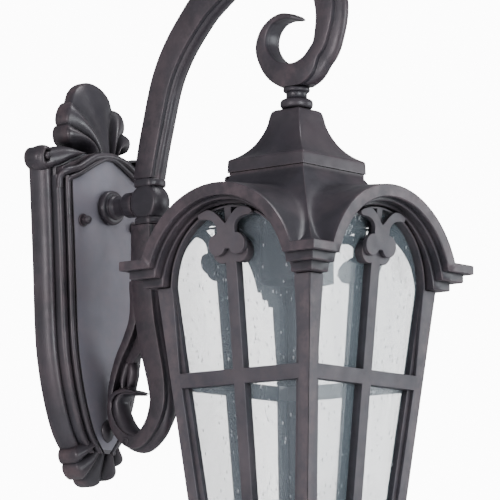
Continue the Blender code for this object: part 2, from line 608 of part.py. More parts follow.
def make_lamp_holder(mats):
    """Cover cup, its nut and the screw lamp holder inside it."""
    cup = [(NIPPLE_HOLE, CUP_TOP_Z), (0.0300, CUP_TOP_Z), (0.0345, -0.0165), (CUP_R, CUP_BOTTOM_Z),
           (CUP_R - 0.0015, CUP_BOTTOM_Z), (CUP_R - 0.0018, -0.0175), (0.0290, -0.0145), (NIPPLE_HOLE, -0.0145)]
    turned_z("lamp_cup", cup, mats["bronze"], ring=True)
    turned_z("cup_nut", tube(NUT_R, HEX_BORE, -0.0117, -0.0077), mats["steel"], 6, True)
    holder = [(NIPPLE_HOLE, -0.0150), (0.0140, -0.0150), (0.0195, -0.0220), (0.0195, -0.0620), (0.0180, -0.0650),
              (0.0142, -0.0650), (0.0142, -0.0340), (NIPPLE_HOLE, -0.0340)]
    turned_z("lamp_holder", holder, mats["porcelain"], ring=True)
    turned_z("holder_thread", tube(0.0138, 0.0130, -0.0630, -0.0380), mats["brass"], ring=True)
    box("holder_contact", (-0.006, LANTERN_Y - 0.002, -0.0360), (0.006, LANTERN_Y + 0.002, -0.0345), mats["brass"])


# ---------------------------------------------------------------- roof
ARCH_SAMPLES = 10             # points across each arch
LOCK_SCREW_X = 0.036
LOCK_SCREW_Z = 0.0192


def eave_arch(x, radius, foot):
    """Height of an arch of the given radius at x, never below its foot."""
    inside = radius * radius - x * x
    return max(foot, ARCH_Z + math.sqrt(inside)) if inside > 0.0 else foot


def roof_top(x, r):
    """Outer height of the roof at x across a face and r out from the axis."""
    rise = RIDGE_RISE * (EAVE - r) / (EAVE - NECK_OUTER)
    dormer = max(EAVE_TOP_Z, eave_arch(x, ARCH_OUTER, EAVE_TOP_Z - 0.02) + rise)
    return max(dormer, HIP_TOP_Z - HIP_SLOPE * (r - NECK_OUTER))


def roof_row(r, radius, spring, height):
    """One row of (x, r, z) across a face, denser where the arch is steep."""
    reach = math.asin(spring / radius)
    across = [radius * math.sin(reach * (2.0 * i / ARCH_SAMPLES - 1.0)) for i in range(ARCH_SAMPLES + 1)]
    return [(x, r, height(x)) for x in [-r] + across + [r]]


def roof_rows():
    """Section of the roof, in rows from the fascia over the top and back underneath."""
    rows = []
    for r in (EAVE, 0.110, 0.101, 0.092, 0.084, 0.076, 0.068, 0.060, 0.052, NECK_OUTER):
        rows.append(roof_row(r, ARCH_OUTER, min(0.0900, 0.94 * r), lambda x, r=r: roof_top(x, r)))
    for r, z in ((NECK_OUTER, NECK_TOP_Z), (NECK_INNER, NECK_TOP_Z), (NECK_INNER, 0.0120)):
        rows.append(roof_row(r, ARCH_OUTER, 0.94 * r, lambda x, z=z: z))
    for r in (0.052, 0.060, 0.068, 0.076, 0.083):
        under = roof_row(r, ARCH_OUTER, 0.94 * r, lambda x, r=r: roof_top(x, r) - ROOF_SKIN)
        rows.append(under)
    edges = [(EAVE, FASCIA_INNER, EAVE_BOTTOM_Z)] + list(STEPS)
    inner = [EAVE] + [step[0] for step in STEPS] + [0.083]
    for i in (2, 1, 0):
        _, radius, foot = edges[i]
        spring = math.sqrt(radius ** 2 - (ARCH_Z - foot) ** 2)
        for r in (inner[i + 1], inner[i]):
            rows.append(roof_row(r, radius, spring, lambda x, a=radius, f=foot: eave_arch(x, a, f)))
    return rows


def make_roof(mats):
    """Cast roof: four dormers under a square neck, with stepped arches at the eave."""
    bm = bmesh.new()
    rows = roof_rows()
    for quarter in range(4):
        cos, sin = ((1, 0), (0, 1), (-1, 0), (0, -1))[quarter]
        rings = []
        for row in rows:
            ring = [bm.verts.new((x * cos + r * sin, x * sin - r * cos, z)) for x, r, z in row]
            rings.append(ring)
        for first, second in zip(rings, rings[1:] + rings[:1]):
            bridge(bm, first, second, closed=False)
    roof = add_object("roof", bm, mats["bronze"])
    roof.location = (0.0, LANTERN_Y, 0.0)
    screw = [(0.0, 0.0408), (0.0020, 0.0408), (0.0020, 0.0515), (0.0046, 0.0515), (0.0046, 0.0545),
             (0.0036, 0.0560), (0.0, 0.0568)]
    for side, x in (("left", -LOCK_SCREW_X), ("right", LOCK_SCREW_X)):
        drill(roof, (x, LANTERN_Y + NECK_OUTER, LOCK_SCREW_Z), 0.0023, 0.012, "y")
        lock = turned_y("lock_screw_" + side, screw, mats["bronze"], x, LOCK_SCREW_Z, SMALL_ROUND)
        lock.location.y = LANTERN_Y


# ---------------------------------------------------------------- cage, glass and ornament
FACES = (("front", 0), ("right", 1), ("back", 2), ("left", 3))
LOBE_CENTRE = (0.0100, -0.0590)
LOBE_RADIUS = 0.0110
STEM_HALF = 0.0040


def half_at(z):
    """Half width of the cage at a height."""
    return FRAME_TOP_HALF - FRAME_TAPER * (FRAME_TOP_Z - z)


def face_place(quarter):
    """Map (across, height, depth behind the cage's face) to space, for one face."""
    cos, sin = ((1, 0), (0, 1), (-1, 0), (0, -1))[quarter]

    def place(a, z, depth):
        limit = half_at(z) - depth - GAP
        x = max(-limit, min(limit, a))
        r = half_at(z) - depth
        return (x * cos + r * sin, LANTERN_Y + x * sin - r * cos, z)
    return place


def mirrored(points):
    """The same outline on the other side."""
    return [(-a, b) for a, b in reversed(points)]


def frame_loops():
    """Outline of one side frame and its four windows."""
    low, top = FRAME_BOTTOM_Z, FRAME_TOP_Z
    rise = math.degrees(math.asin((top - ARCH_Z) / FRAME_ARCH_OUTER))
    outer = [(-half_at(low), low), (half_at(low), low), (half_at(top), top)]
    outer += arc((0.0, ARCH_Z), FRAME_ARCH_OUTER, rise, 180.0 - rise, 16)
    outer += [(-half_at(top), top)]
    sill = low + FRAME_FOOT
    lower = [(MULLION_HALF, sill), (half_at(sill) - POST_WIDTH, sill)]
    lower += [(half_at(RAIL_BOTTOM_Z) - POST_WIDTH, RAIL_BOTTOM_Z), (MULLION_HALF, RAIL_BOTTOM_Z)]
    upper = [(MULLION_HALF, RAIL_TOP_Z), (half_at(RAIL_TOP_Z) - POST_WIDTH, RAIL_TOP_Z)]
    foot = math.degrees(math.asin((top - ARCH_Z) / FRAME_ARCH_INNER))
    crown = math.degrees(math.acos(STEM_HALF / FRAME_ARCH_INNER))
    upper += arc((0.0, ARCH_Z), FRAME_ARCH_INNER, foot, crown, 8)
    meet_stem = math.degrees(math.acos((STEM_HALF - LOBE_CENTRE[0]) / LOBE_RADIUS))
    meet_bar = math.degrees(math.acos((MULLION_HALF - LOBE_CENTRE[0]) / LOBE_RADIUS))
    upper += arc(LOBE_CENTRE, LOBE_RADIUS, meet_stem, -meet_bar, 8)
    return [outer, lower, mirrored(lower), upper, mirrored(upper)]


def tracery_loop():
    """Ornament in the arch: two discs below, and two horns that curl up to the arch."""
    half = [(0.0, -0.0575)] + arc((0.0115, -0.0543), 0.0090, 205.0, 435.0, 9)
    half += [(0.0120, -0.0410), (0.0150, -0.0330), (0.0205, -0.0275), (0.0275, -0.0250), (0.0280, -0.0228)]
    half += [(0.0215, -0.0205), (0.0150, -0.0195), (0.0110, -0.0210), (0.0100, -0.0250), (0.0060, -0.0300)]
    return half + [(0.0, -0.0365)] + mirrored(half[1:])


def make_cage(mats):
    """Four side frames, each with its ornament and its pane, and the corner clips."""
    loops = frame_loops()
    low, top = FRAME_BOTTOM_Z + GAP, FRAME_TOP_Z - GAP
    pane_arch = FRAME_ARCH_OUTER - GAP
    rise = math.degrees(math.asin((top - ARCH_Z) / pane_arch))
    pane = [(half_at(low) - 0.013, low), (half_at(top) - 0.0145, top)]
    pane += arc((0.0, ARCH_Z), pane_arch, rise + 1.0, 179.0 - rise, 16)
    pane += [(0.0145 - half_at(top), top), (0.013 - half_at(low), low)]
    for name, quarter in FACES:
        place = face_place(quarter)
        bm = bmesh.new()
        prism(bm, loops, place, 0.0, FRAME_THICK)
        frame = add_object("side_frame_" + name, bm, mats["bronze"])
        along = "y" if quarter % 2 == 0 else "x"
        drill(frame, place(0.0, BASE_SCREW_Z, 0.0), 0.0018, 0.012, along)
        bm = bmesh.new()
        prism(bm, [tracery_loop()], place, -0.0050, -GAP)
        add_object("tracery_" + name, bm, mats["bronze"])
        bm = bmesh.new()
        prism(bm, [pane], place, FRAME_THICK + GAP, FRAME_THICK + GAP + GLASS_THICK)
        add_object("glass_" + name, bm, mats["glass"])


def make_corner_clips(mats):
    """Bent clip in each corner of the cage, behind the rail, that holds two panes."""
    angle = [(0.0095, 0.0095), (0.0128, 0.0095), (0.0128, 0.0126), (0.0260, 0.0126), (0.0260, 0.0136),
             (0.0136, 0.0136), (0.0136, 0.0260), (0.0126, 0.0260), (0.0126, 0.0128), (0.0095, 0.0128)]
    corners = (("front_right", 1, -1), ("back_right", 1, 1), ("back_left", -1, 1), ("front_left", -1, -1))
    for name, sx, sy in corners:
        def place(a, b, z, sx=sx, sy=sy):
            half = half_at(z)
            return (sx * (half - a), LANTERN_Y + sy * (half - b), z)
        bm = bmesh.new()
        prism(bm, [angle], place, RAIL_TOP_Z, RAIL_BOTTOM_Z)
        add_object("corner_clip_" + name, bm, mats["steel"])


# ---------------------------------------------------------------- base
BASE_SCREW_Z = -0.3290


def make_base(mats):
    """Stepped base tray round the foot of the cage, with its screws and the finial."""
    profile = [(0.0, -0.3790), (0.0180, -0.3790), (0.0300, -0.3660), (0.0440, -0.3530), (0.0520, -0.3450),
               (0.0520, -0.3333), (0.0682, -0.3333), (0.0682, -0.3240), (0.0712, -0.3240), (0.0712, -0.3320),
               (0.0750, -0.3360), (0.0750, -0.3420), (0.0665, -0.3440), (0.0665, -0.3480), (0.0530, -0.3560),
               (0.0370, -0.3680), (0.0250, -0.3800), (0.0200, -0.3830), (0.0, -0.3830)]
    tray = square_lathe("base_tray", profile, mats["bronze"])
    tray.location = (0.0, LANTERN_Y, 0.0)
    drill(tray, (0.0, LANTERN_Y, -0.3810), 0.0033, 0.02, "z")
    drill(tray, (0.0, LANTERN_Y, BASE_SCREW_Z), 0.0018, 0.2, "x")
    drill(tray, (0.0, LANTERN_Y, BASE_SCREW_Z), 0.0018, 0.2, "y")
    screw = [(0.0, 0.0635), (0.0015, 0.0635), (0.0015, 0.0715), (0.0030, 0.0715), (0.0026, 0.0732), (0.0, 0.0737)]
    for name, quarter in FACES:
        piece = lathe("base_screw_" + name, screw, mats["steel"], SMALL_ROUND)
        piece.rotation_euler = (math.pi / 2.0, 0.0, quarter * math.pi / 2.0)
        piece.location = (0.0, LANTERN_Y, BASE_SCREW_Z)
    finial = [(0.0, -0.3735), (0.0030, -0.3735), (0.0030, -0.3833), (0.0110, -0.3833), (0.0125, -0.3850),
              (0.0115, -0.3870), (0.0080, -0.3885), (0.0085, -0.3905), (0.0135, -0.3945), (0.0150, -0.3990),
              (0.0130, -0.4035), (0.0080, -0.4075), (0.0035, -0.4105), (0.0, -0.4115)]
    turned_z("finial", finial, mats["bronze"], 20)
    turned_z("finial_nut", tube(0.0060, 0.0041, -0.3787, -0.3750), mats["steel"], 6, True)


def main():
    """Clear the scene and build every piece."""
    for obj in list(bpy.data.objects):
        bpy.data.objects.remove(obj, do_unlink=True)
    mats = make_materials()
    make_wall_fixing(mats)
    make_gasket(mats)
    make_plate(mats)
    make_neck(mats)
    make_hub(mats)
    make_arm(mats)
    make_lower_scroll(mats)
    make_cap(mats)
    make_lamp_holder(mats)
    make_roof(mats)
    make_cage(mats)
    make_corner_clips(mats)
    make_base(mats)
    for obj in bpy.data.objects:
        obj.location.y -= WALL_Y


main()
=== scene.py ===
"""Outdoor wall lantern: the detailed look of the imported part, on its own frame, in metres."""
import math

import bmesh
import bpy
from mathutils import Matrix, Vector


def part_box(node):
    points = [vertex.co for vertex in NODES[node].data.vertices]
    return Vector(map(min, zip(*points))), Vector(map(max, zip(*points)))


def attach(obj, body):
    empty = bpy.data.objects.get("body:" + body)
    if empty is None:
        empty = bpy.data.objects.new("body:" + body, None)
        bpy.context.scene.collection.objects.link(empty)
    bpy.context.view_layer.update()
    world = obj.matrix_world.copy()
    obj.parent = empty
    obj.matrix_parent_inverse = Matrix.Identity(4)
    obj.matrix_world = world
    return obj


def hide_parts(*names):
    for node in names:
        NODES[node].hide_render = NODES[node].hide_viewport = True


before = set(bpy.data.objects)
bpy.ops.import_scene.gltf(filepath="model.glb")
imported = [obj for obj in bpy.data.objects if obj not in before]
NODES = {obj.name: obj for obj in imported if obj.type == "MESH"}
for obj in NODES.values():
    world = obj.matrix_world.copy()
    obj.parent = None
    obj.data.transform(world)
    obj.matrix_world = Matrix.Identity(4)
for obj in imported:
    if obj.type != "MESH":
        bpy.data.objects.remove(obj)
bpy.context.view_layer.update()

FACES = (("front", 0), ("right", 1), ("back", 2), ("left", 3))
TURNS = ((1, 0), (0, 1), (-1, 0), (0, -1))  # cosine and sine of each face's quarter turn
HANDS = (("left", -1.0), ("right", 1.0))
WALL_Y = 0.006                # shapes are drawn from a datum plane this far in front of the wall


def box_of(name):
    """Low and high corners of a node's box, measured from the datum plane."""
    shift = Vector((0.0, WALL_Y, 0.0))
    return [Vector(corner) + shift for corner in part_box(name)]


def middle(name, axis):
    """Middle of a node's box along one axis."""
    return sum(corner[axis] for corner in box_of(name)) / 2.0


def mm(*rows):
    """Rows of millimetres as rows of metres."""
    return [tuple(number / 1000.0 for number in row) for row in rows]


# Places read from the frame
LANTERN_Y = middle("cap", 1)
ARM_Y = middle("arm_hub", 1)
NECK_Z = middle("arm_neck", 2)
STUD_X = middle("dome_nut_right", 0)


# ---------------------------------------------------------------- material helpers
class Nodes:
    """A small helper that builds one node material around its Principled shader."""

    def __init__(self, name):
        self.material = bpy.data.materials.new(name)
        self.material.use_nodes = True
        self.tree = self.material.node_tree
        self.shader = self.tree.nodes["Principled BSDF"]
        self.place = self.add("ShaderNodeTexCoord").outputs["Object"]

    def add(self, kind, **settings):
        """A node with some of its settings made."""
        node = self.tree.nodes.new(kind)
        for key, value in settings.items():
            setattr(node, key, value)
        return node

    def link(self, source, target):
        """Join an output to an input."""
        self.tree.links.new(source, target)

    def lay(self, texture, stretch):
        """Lay a texture over the piece's own place; stretch scales its axes."""
        source = self.place
        if stretch:
            mapping = self.add("ShaderNodeMapping")
            mapping.inputs["Scale"].default_value = stretch
            self.link(self.place, mapping.inputs["Vector"])
            source = mapping.outputs["Vector"]
        self.link(source, texture.inputs["Vector"])

    def noise(self, scale, detail=4.0, rough=0.55, stretch=None):
        """Noise over the piece."""
        node = self.add("ShaderNodeTexNoise")
        node.inputs["Scale"].default_value = scale
        node.inputs["Detail"].default_value = detail
        node.inputs["Roughness"].default_value = rough
        self.lay(node, stretch)
        return node.outputs["Fac"]

    def cells(self, scale, stretch=None):
        """Distance to the nearest of many scattered points over the piece."""
        node = self.add("ShaderNodeTexVoronoi", feature="F1")
        node.inputs["Scale"].default_value = scale
        self.lay(node, stretch)
        return node.outputs["Distance"]

    def remap(self, value, low, high, to_low=0.0, to_high=1.0):
        """Clamped straight-line change of range."""
        node = self.add("ShaderNodeMapRange", clamp=True)
        ends = (("From Min", low), ("From Max", high), ("To Min", to_low), ("To Max", to_high))
        for key, number in ends:
            node.inputs[key].default_value = number
        self.link(value, node.inputs["Value"])
        return node.outputs["Result"]

    def math(self, operation, first, second):
        """One operation on two values, each an output or a number."""
        node = self.add("ShaderNodeMath", operation=operation)
        for socket, value in zip(node.inputs, (first, second)):
            if isinstance(value, (int, float)):
                socket.default_value = value
            else:
                self.link(value, socket)
        return node.outputs["Value"]

    def mix(self, factor, first, second):
        """Colour mix; each colour is an output or three numbers."""
        node = self.add("ShaderNodeMix", data_type="RGBA")
        self.link(factor, node.inputs["Factor"])
        for key, value in (("A", first), ("B", second)):
            socket = [s for s in node.inputs if s.name == key and s.type == "RGBA"][0]
            if isinstance(value, tuple):
                socket.default_value = (*value, 1.0)
            else:
                self.link(value, socket)
        return [s for s in node.outputs if s.type == "RGBA"][0]

    def bump(self, height, strength, distance, below=None):
        """Bump from a height, laid over another bump if one is given."""
        node = self.add("ShaderNodeBump")
        node.inputs["Strength"].default_value = strength
        node.inputs["Distance"].default_value = distance
        self.link(height, node.inputs["Height"])
        if below is not None:
            self.link(below, node.inputs["Normal"])
        return node.outputs["Normal"]

    def set(self, **values):
        """Constants on the shader's own sockets; an underscore stands for a space."""
        for key, value in values.items():
            self.shader.inputs[key.replace("_", " ")].default_value = value

    def drive(self, name, output):
        """Feed a shader socket from a node."""
        self.link(output, self.shader.inputs[name])


def bronze_paint(name, dark, light, blush, rough):
    """Satin bronze paint on a casting: cloudy colour, reddish worn edges, and painted shade that darkens the
    hollows.
    """
    n = Nodes(name)
    cloud = n.remap(n.noise(26.0, 5.0, 0.6), 0.36, 0.66)
    colour = n.mix(cloud, dark, light)
    edge = n.remap(n.add("ShaderNodeNewGeometry").outputs["Pointiness"], 0.505, 0.56)
    patchy = n.remap(n.noise(60.0, 4.0, 0.65), 0.42, 0.62, 0.25, 1.0)
    colour = n.mix(n.math("MULTIPLY", edge, patchy), colour, blush)
    stain = n.remap(n.noise(11.0, 3.0, 0.6), 0.5, 0.72, 0.0, 0.55)
    colour = n.mix(stain, colour, blush)
    # Painted shade: ambient occlusion darkens the colour in hollows and crevices, where shade falls.
    hollow = n.add("ShaderNodeAmbientOcclusion", samples=6)
    hollow.inputs["Distance"].default_value = 0.018
    depth = n.remap(hollow.outputs["AO"], 0.30, 0.85, 0.85, 0.0)
    colour = n.mix(depth, colour, tuple(part * 0.35 for part in dark))
    n.drive("Base Color", colour)
    n.drive("Roughness", n.remap(n.noise(90.0, 3.0), 0.3, 0.7, rough - 0.05, rough + 0.08))
    cast = n.bump(n.noise(55.0, 3.0, 0.5), 0.10, 0.0012)
    peel = n.bump(n.noise(900.0, 2.0, 0.5), 0.12, 0.00018, cast)
    n.drive("Normal", peel)
    n.set(Metallic=0.12, Specular_IOR_Level=0.5, Coat_Weight=0.08, Coat_Roughness=0.35)
    return n.material


def seeded_glass():
    """Pale clear glass with a thin bluish veil, small drawn-out seeds and faint pulled streaks."""
    n = Nodes("seeded_glass")
    streak = n.noise(16.0, 3.0, 0.5, stretch=(1.0, 1.0, 0.07))
    seeds = n.cells(170.0, stretch=(1.0, 1.0, 0.45))
    pick = n.remap(n.noise(60.0, 1.0), 0.45, 0.49)
    dot = n.math("MULTIPLY", n.remap(seeds, 0.10, 0.20, 1.0, 0.0), pick)
    thin = n.cells(150.0, stretch=(1.0, 1.0, 0.05))
    patch = n.remap(n.noise(34.0, 1.0), 0.49, 0.54)
    scratch = n.math("MULTIPLY", n.remap(thin, 0.03, 0.09, 1.0, 0.0), patch)
    marks = n.math("MAXIMUM", dot, n.math("MULTIPLY", scratch, 0.5))
    n.drive("Base Color", n.mix(marks, (0.232, 0.276, 0.310), (0.60, 0.64, 0.67)))
    veil = n.remap(streak, 0.35, 0.65, 0.36, 0.43)
    n.drive("Alpha", n.math("MAXIMUM", veil, n.math("MULTIPLY", marks, 0.8)))
    ripple = n.bump(streak, 0.10, 0.003)
    n.drive("Normal", n.bump(marks, 0.5, 0.0005, ripple))
    n.set(Roughness=0.08, IOR=1.45, Transmission_Weight=0.20)
    return n.material


def plated_steel():
    """Zinc-plated steel with faint drawing lines."""
    n = Nodes("plated_steel")
    grain = n.noise(220.0, 3.0, 0.6, stretch=(1.0, 1.0, 0.12))
    n.drive("Base Color", n.mix(grain, (0.42, 0.42, 0.43), (0.62, 0.62, 0.61)))
    n.drive("Roughness", n.remap(grain, 0.3, 0.7, 0.28, 0.45))
    n.drive("Normal", n.bump(grain, 0.08, 0.0002))
    n.set(Metallic=1.0)
    return n.material


def plain_look(name, tone, dark, light, rough, grain, **constants):
    """Cloudy two-tone material with a fine bump.

    tone: scale, detail and roughness of the clouds. grain: scale, strength and distance of the bump.
    """
    n = Nodes(name)
    cloud = n.noise(*tone)
    n.drive("Base Color", n.mix(cloud, dark, light))
    n.drive("Roughness", n.remap(cloud, 0.3, 0.7, *rough))
    scale, strength, distance = grain
    n.drive("Normal", n.bump(n.noise(scale, 2.0), strength, distance))
    n.set(**constants)
    return n.material


def black_foam():
    """Closed-cell foam with fine pores."""
    n = Nodes("black_foam")
    pores = n.cells(1400.0)
    n.drive("Base Color", n.mix(n.noise(200.0), (0.012, 0.012, 0.013), (0.035, 0.035, 0.037)))
    n.drive("Roughness", n.remap(pores, 0.0, 0.6, 0.8, 0.98))
    n.drive("Normal", n.bump(pores, 0.5, 0.0004))
    return n.material


PAINTS = {                    # dark, light and worn colour of each paint, and its roughness
    "bronze": ((0.025, 0.023, 0.029), (0.042, 0.038, 0.047), (0.092, 0.068, 0.077), 0.38),
    "frame": ((0.050, 0.047, 0.057), (0.076, 0.072, 0.085), (0.112, 0.090, 0.098), 0.46),
    # The panel paint is a much paler copy of the plate's bronze: painted light for the key light on the
    # plate's front panel.
    "panel": ((0.180, 0.175, 0.210), (0.208, 0.202, 0.240), (0.212, 0.194, 0.226), 0.52),
    "plate": ((0.029, 0.027, 0.033), (0.046, 0.043, 0.052), (0.092, 0.068, 0.077), 0.40),
    "casting": ((0.026, 0.023, 0.029), (0.042, 0.038, 0.046), (0.090, 0.064, 0.070), 0.38),
}
MAT = {look: bronze_paint(look + "_paint", *values) for look, values in PAINTS.items()}
MAT["glass"] = seeded_glass()
MAT["steel"] = plated_steel()
MAT["brass"] = plain_look("dull_brass", (80.0, 4.0, 0.6), (0.50, 0.35, 0.13), (0.74, 0.56, 0.25),
                          (0.25, 0.42), (400.0, 0.06, 0.0002), Metallic=1.0)
MAT["porcelain"] = plain_look("white_porcelain", (40.0, 3.0), (0.78, 0.76, 0.70), (0.90, 0.89, 0.85),
                              (0.12, 0.22), (120.0, 0.05, 0.0003), Coat_Weight=0.4, Coat_Roughness=0.08)
MAT["nylon"] = plain_look("white_nylon", (70.0, 3.0), (0.72, 0.72, 0.68), (0.82, 0.82, 0.79),
                          (0.45, 0.60), (600.0, 0.10, 0.0002))
MAT["foam"] = black_foam()


# ---------------------------------------------------------------- mesh helpers
def curve(points, steps):
    """Catmull-Rom curve through rows of numbers; a doubled row makes a corner."""
    rows = []
    for i in range(len(points) - 1):
        here, there = points[i], points[i + 1]
        if tuple(here) == tuple(there):
            continue
        before = points[i - 1] if i else here
        after = points[i + 2] if i + 2 < len(points) else there
        for step in range(steps):
            t = step / steps
            row = []
            for a, b, c, d in zip(before, here, there, after):
                bend = 2 * a - 5 * b + 4 * c - d
                twist = 3 * b - a - 3 * c + d
                row.append(0.5 * (2 * b + (c - a) * t + bend * t * t + twist * t * t * t))
            rows.append(row)
    rows.append(list(points[-1]))
    return rows


def arc(centre, radius, start, end, count):
    """Points along an arc, angles in degrees."""
    points = []
    for i in range(count + 1):
        angle = math.radians(start + (end - start) * i / count)
        points.append((centre[0] + radius * math.cos(angle), centre[1] + radius * math.sin(angle)))
    return points


def bridge(bm, first, second, closed=True):
    """Quads between two rows of vertices; a row of one vertex makes a fan."""
    count = max(len(first), len(second))
    for i in range(count if closed else count - 1):
        j = (i + 1) % count
        corners = [first[i % len(first)], first[j % len(first)]]
        corners += [second[j % len(second)], second[i % len(second)]]
        unique = list(dict.fromkeys(corners))
        if len(unique) > 2:
            bm.faces.new(unique)


def loft(bm, rings, caps=True):
    """Skin a list of rings of points, with flat ends."""
    rows = [[bm.verts.new(point) for point in ring] for ring in rings]
    for first, second in zip(rows, rows[1:]):
        bridge(bm, first, second)
    if caps:
        bm.faces.new(rows[0])
        bm.faces.new(list(reversed(rows[-1])))
    return rows


def piece(name, bm, look, body, nodes=(), sharp=34.0, bevel=0.0, segments=2):
    """Turn a bmesh into a finished piece that rides on a body and replaces its CAD nodes."""
    bmesh.ops.remove_doubles(bm, verts=bm.verts, dist=1e-7)
    bmesh.ops.recalc_face_normals(bm, faces=bm.faces)
    bmesh.ops.translate(bm, vec=(0.0, -WALL_Y, 0.0), verts=bm.verts)
    mesh = bpy.data.meshes.new(name)
    bm.to_mesh(mesh)
    bm.free()
    mesh.shade_smooth()
    mesh.set_sharp_from_angle(angle=math.radians(sharp))
    mesh.materials.append(MAT[look])
    obj = bpy.data.objects.new(name, mesh)
    bpy.context.scene.collection.objects.link(obj)
    if bevel:
        modifier = obj.modifiers.new("edge", "BEVEL")
        modifier.width = bevel
        modifier.segments = segments
        modifier.limit_method = "ANGLE"
        modifier.angle_limit = math.radians(38.0)
        modifier.harden_normals = True
        modifier.use_clamp_overlap = True
    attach(obj, body)
    if nodes:
        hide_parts(*nodes)
    return obj


def lying(a, b, depth):
    """Place a point of a level outline at a height."""
    return (a, b, depth)


def upright(a, b, depth):
    """Place a point of an outline that faces the wall."""
    return (a, depth, b)


def sideways(a, b, depth):
    """Place a point of an outline that lies in the arm's plane."""
    return (depth, a, b)


def to_y(x, z):
    """Place a turned point on an axis that runs along Y."""
    return lambda across, up, along: (x + across, along, z + up)


def to_x(y, z):
    """Place a turned point on an axis that runs along X."""
    return lambda across, up, along: (along, y + across, z + up)


def to_z(x, y):
    """Place a turned point on an upright axis."""
    return lambda across, up, along: (x + across, y + up, along)


ON_AXIS = to_z(0.0, LANTERN_Y)


def turned(name, profile, look, body, nodes, place, sides=64, steps=4, ring=False, wobble=None, **more):
    """Turn (radius, along) points; wobble(angle) scales the radius for knurls and flats.

    ring joins the profile's end to its start, for a piece with a bore.
    """
    bm = bmesh.new()
    rows = []
    for radius, along in curve(profile, steps):
        if radius < 1e-6:
            rows.append([bm.verts.new(place(0.0, 0.0, along))])
            continue
        row = []
        for i in range(sides):
            angle = 2.0 * math.pi * i / sides
            reach = radius * (wobble(angle) if wobble else 1.0)
            row.append(bm.verts.new(place(reach * math.cos(angle), reach * math.sin(angle), along)))
        rows.append(row)
    for first, second in zip(rows, rows[1:]):
        bridge(bm, first, second)
    if ring:
        bridge(bm, rows[-1], rows[0])
    return piece(name, bm, look, body, nodes, **more)


def hexagon(angle):
    """Radius factor that turns a round section into a hexagon of the same corner radius."""
    sector = math.pi / 3.0
    return math.cos(sector / 2.0) / math.cos((angle % sector) - sector / 2.0)


def square_ring(half, corner, z, points=5):
    """Square with rounded corners round the lantern axis."""
    corner = min(corner, half * 0.95)
    ring = []
    for cos, sin in TURNS:
        for a, b in arc((half - corner, half - corner), corner, 0.0, 90.0, points):
            ring.append((a * cos - b * sin, LANTERN_Y + a * sin + b * cos, z))
    return ring


def square_turned(name, profile, look, body, nodes, steps=5, corner=0.0016, ring=False, **more):
    """Square counterpart of turned, for (half width, z) points."""
    bm = bmesh.new()
    rings = [square_ring(max(half, 1e-4), corner, z) for half, z in curve(profile, steps)]
    rows = loft(bm, rings, caps=not ring)
    if ring:
        bridge(bm, rows[-1], rows[0])
    return piece(name, bm, look, body, nodes, **more)


def prism(bm, loops, place, front, back):
    """Extrude a flat outline with holes. place(a, b, depth) gives a point in space."""
    for depth in (front, back):
        edges = []
        for loop in loops:
            verts = [bm.verts.new(place(a, b, depth)) for a, b in loop]
            edges += [bm.edges.new((verts[i], verts[i - 1])) for i in range(len(verts))]
        bmesh.ops.triangle_fill(bm, use_beauty=True, use_dissolve=True, edges=edges)
    bm.verts.ensure_lookup_table()
    half = sum(len(loop) for loop in loops)
    start = len(bm.verts) - 2 * half
    for loop in loops:
        count = len(loop)
        for i in range(count):
            j = (i + 1) % count
            a, b = bm.verts[start + i], bm.verts[start + j]
            c, d = bm.verts[start + half + j], bm.verts[start + half + i]
            bm.faces.new((a, b, c, d))
        start += count


def slab(name, loops, place, front, back, look, body="wall_arm", nodes=(), **more):
    """Extrude an outline with holes into a finished piece."""
    bm = bmesh.new()
    prism(bm, loops, place, front, back)
    return piece(name, bm, look, body, nodes, **more)


def skin(name, rings, look, nodes=(), **more):
    """Skin rings into a finished piece that is fixed to the wall."""
    bm = bmesh.new()
    loft(bm, rings)
    return piece(name, bm, look, "wall_arm", nodes, **more)


def heading(rows, i):
    """Unit direction of a flat path at row i, from its neighbours."""
    before, after = rows[max(i - 1, 0)], rows[min(i + 1, len(rows) - 1)]
    return Vector((after[0] - before[0], after[1] - before[1])).normalized()


def rope(path, place, sides):
    """Rings of an oval rope along (a, b, depth, half width, half depth) rows."""
    rings = []
    for i, (a, b, depth, wide, deep) in enumerate(path):
        along = heading(path, i)
        ring = []
        for k in range(sides):
            angle = 2.0 * math.pi * k / sides
            across = wide * math.cos(angle)
            ring.append(place(a + across * along.y, b - across * along.x, depth + deep * math.sin(angle)))
        rings.append(ring)
    return rings


def smooth_max(a, b, blend):
    """The larger of two heights with a fillet where they cross."""
    if blend <= 0.0 or abs(a - b) >= blend:
        return max(a, b)
    rest = (blend - abs(a - b)) / blend
    return max(a, b) + rest * rest * blend / 4.0


# ---------------------------------------------------------------- wall plate
PLATE_OUTLINE = mm(           # (height, half width) down the plate
    (67, 79.1), (-31, 72.4), (-109, 67.9), (-147, 62.4), (-182, 52.9), (-208, 41.9), (-226, 28.4),
)
PLATE_ROLL = mm(              # (distance in from the edge, y) round the outer roll, then the band
    (0.6, 3.7), (0, 1.5), (0, -3), (0.3, -7), (1.2, -10.8), (2.7, -14), (4.7, -16.3), (6.7, -17.4),
    (8.6, -17.5), (9.8, -16.8), (10, -16.8), (10.2, -22.2), (10.6, -24.3), (11.8, -25.8), (14, -26.4),
    (16.5, -26.2), (18.2, -25.4), (18.8, -24),
)
ROLL_END_Z = 0.0500
BAND_START = 0.0099
BAND_END_Z = 0.0420
CUT_BACK_Y = -0.0120          # the body's face under the header, above those heights
THIN_BEAD = (0.0210, -0.0280)
THIN_BEAD_RADIUS = 0.0032
PANEL_EDGE = mm((24.4, -28.7), (25.2, -31))
PANEL_LIFT = 0.00005          # the head of the panel stands this far in front of the panel
HOLLOW = mm(                  # (distance in from the edge, y) of the hollow behind the plate
    (4, 3.7), (4, -4), (6, -11.5), (10.5, -13), (13.5, -20), (23, -23), (27, -27.5),
)
OGEE = mm((57.5, 38.5), (45.2, 44.2), (33, 51.2), (24, 56.2), (16.8, 60), (7.4, 64.3), (0, 65.5))
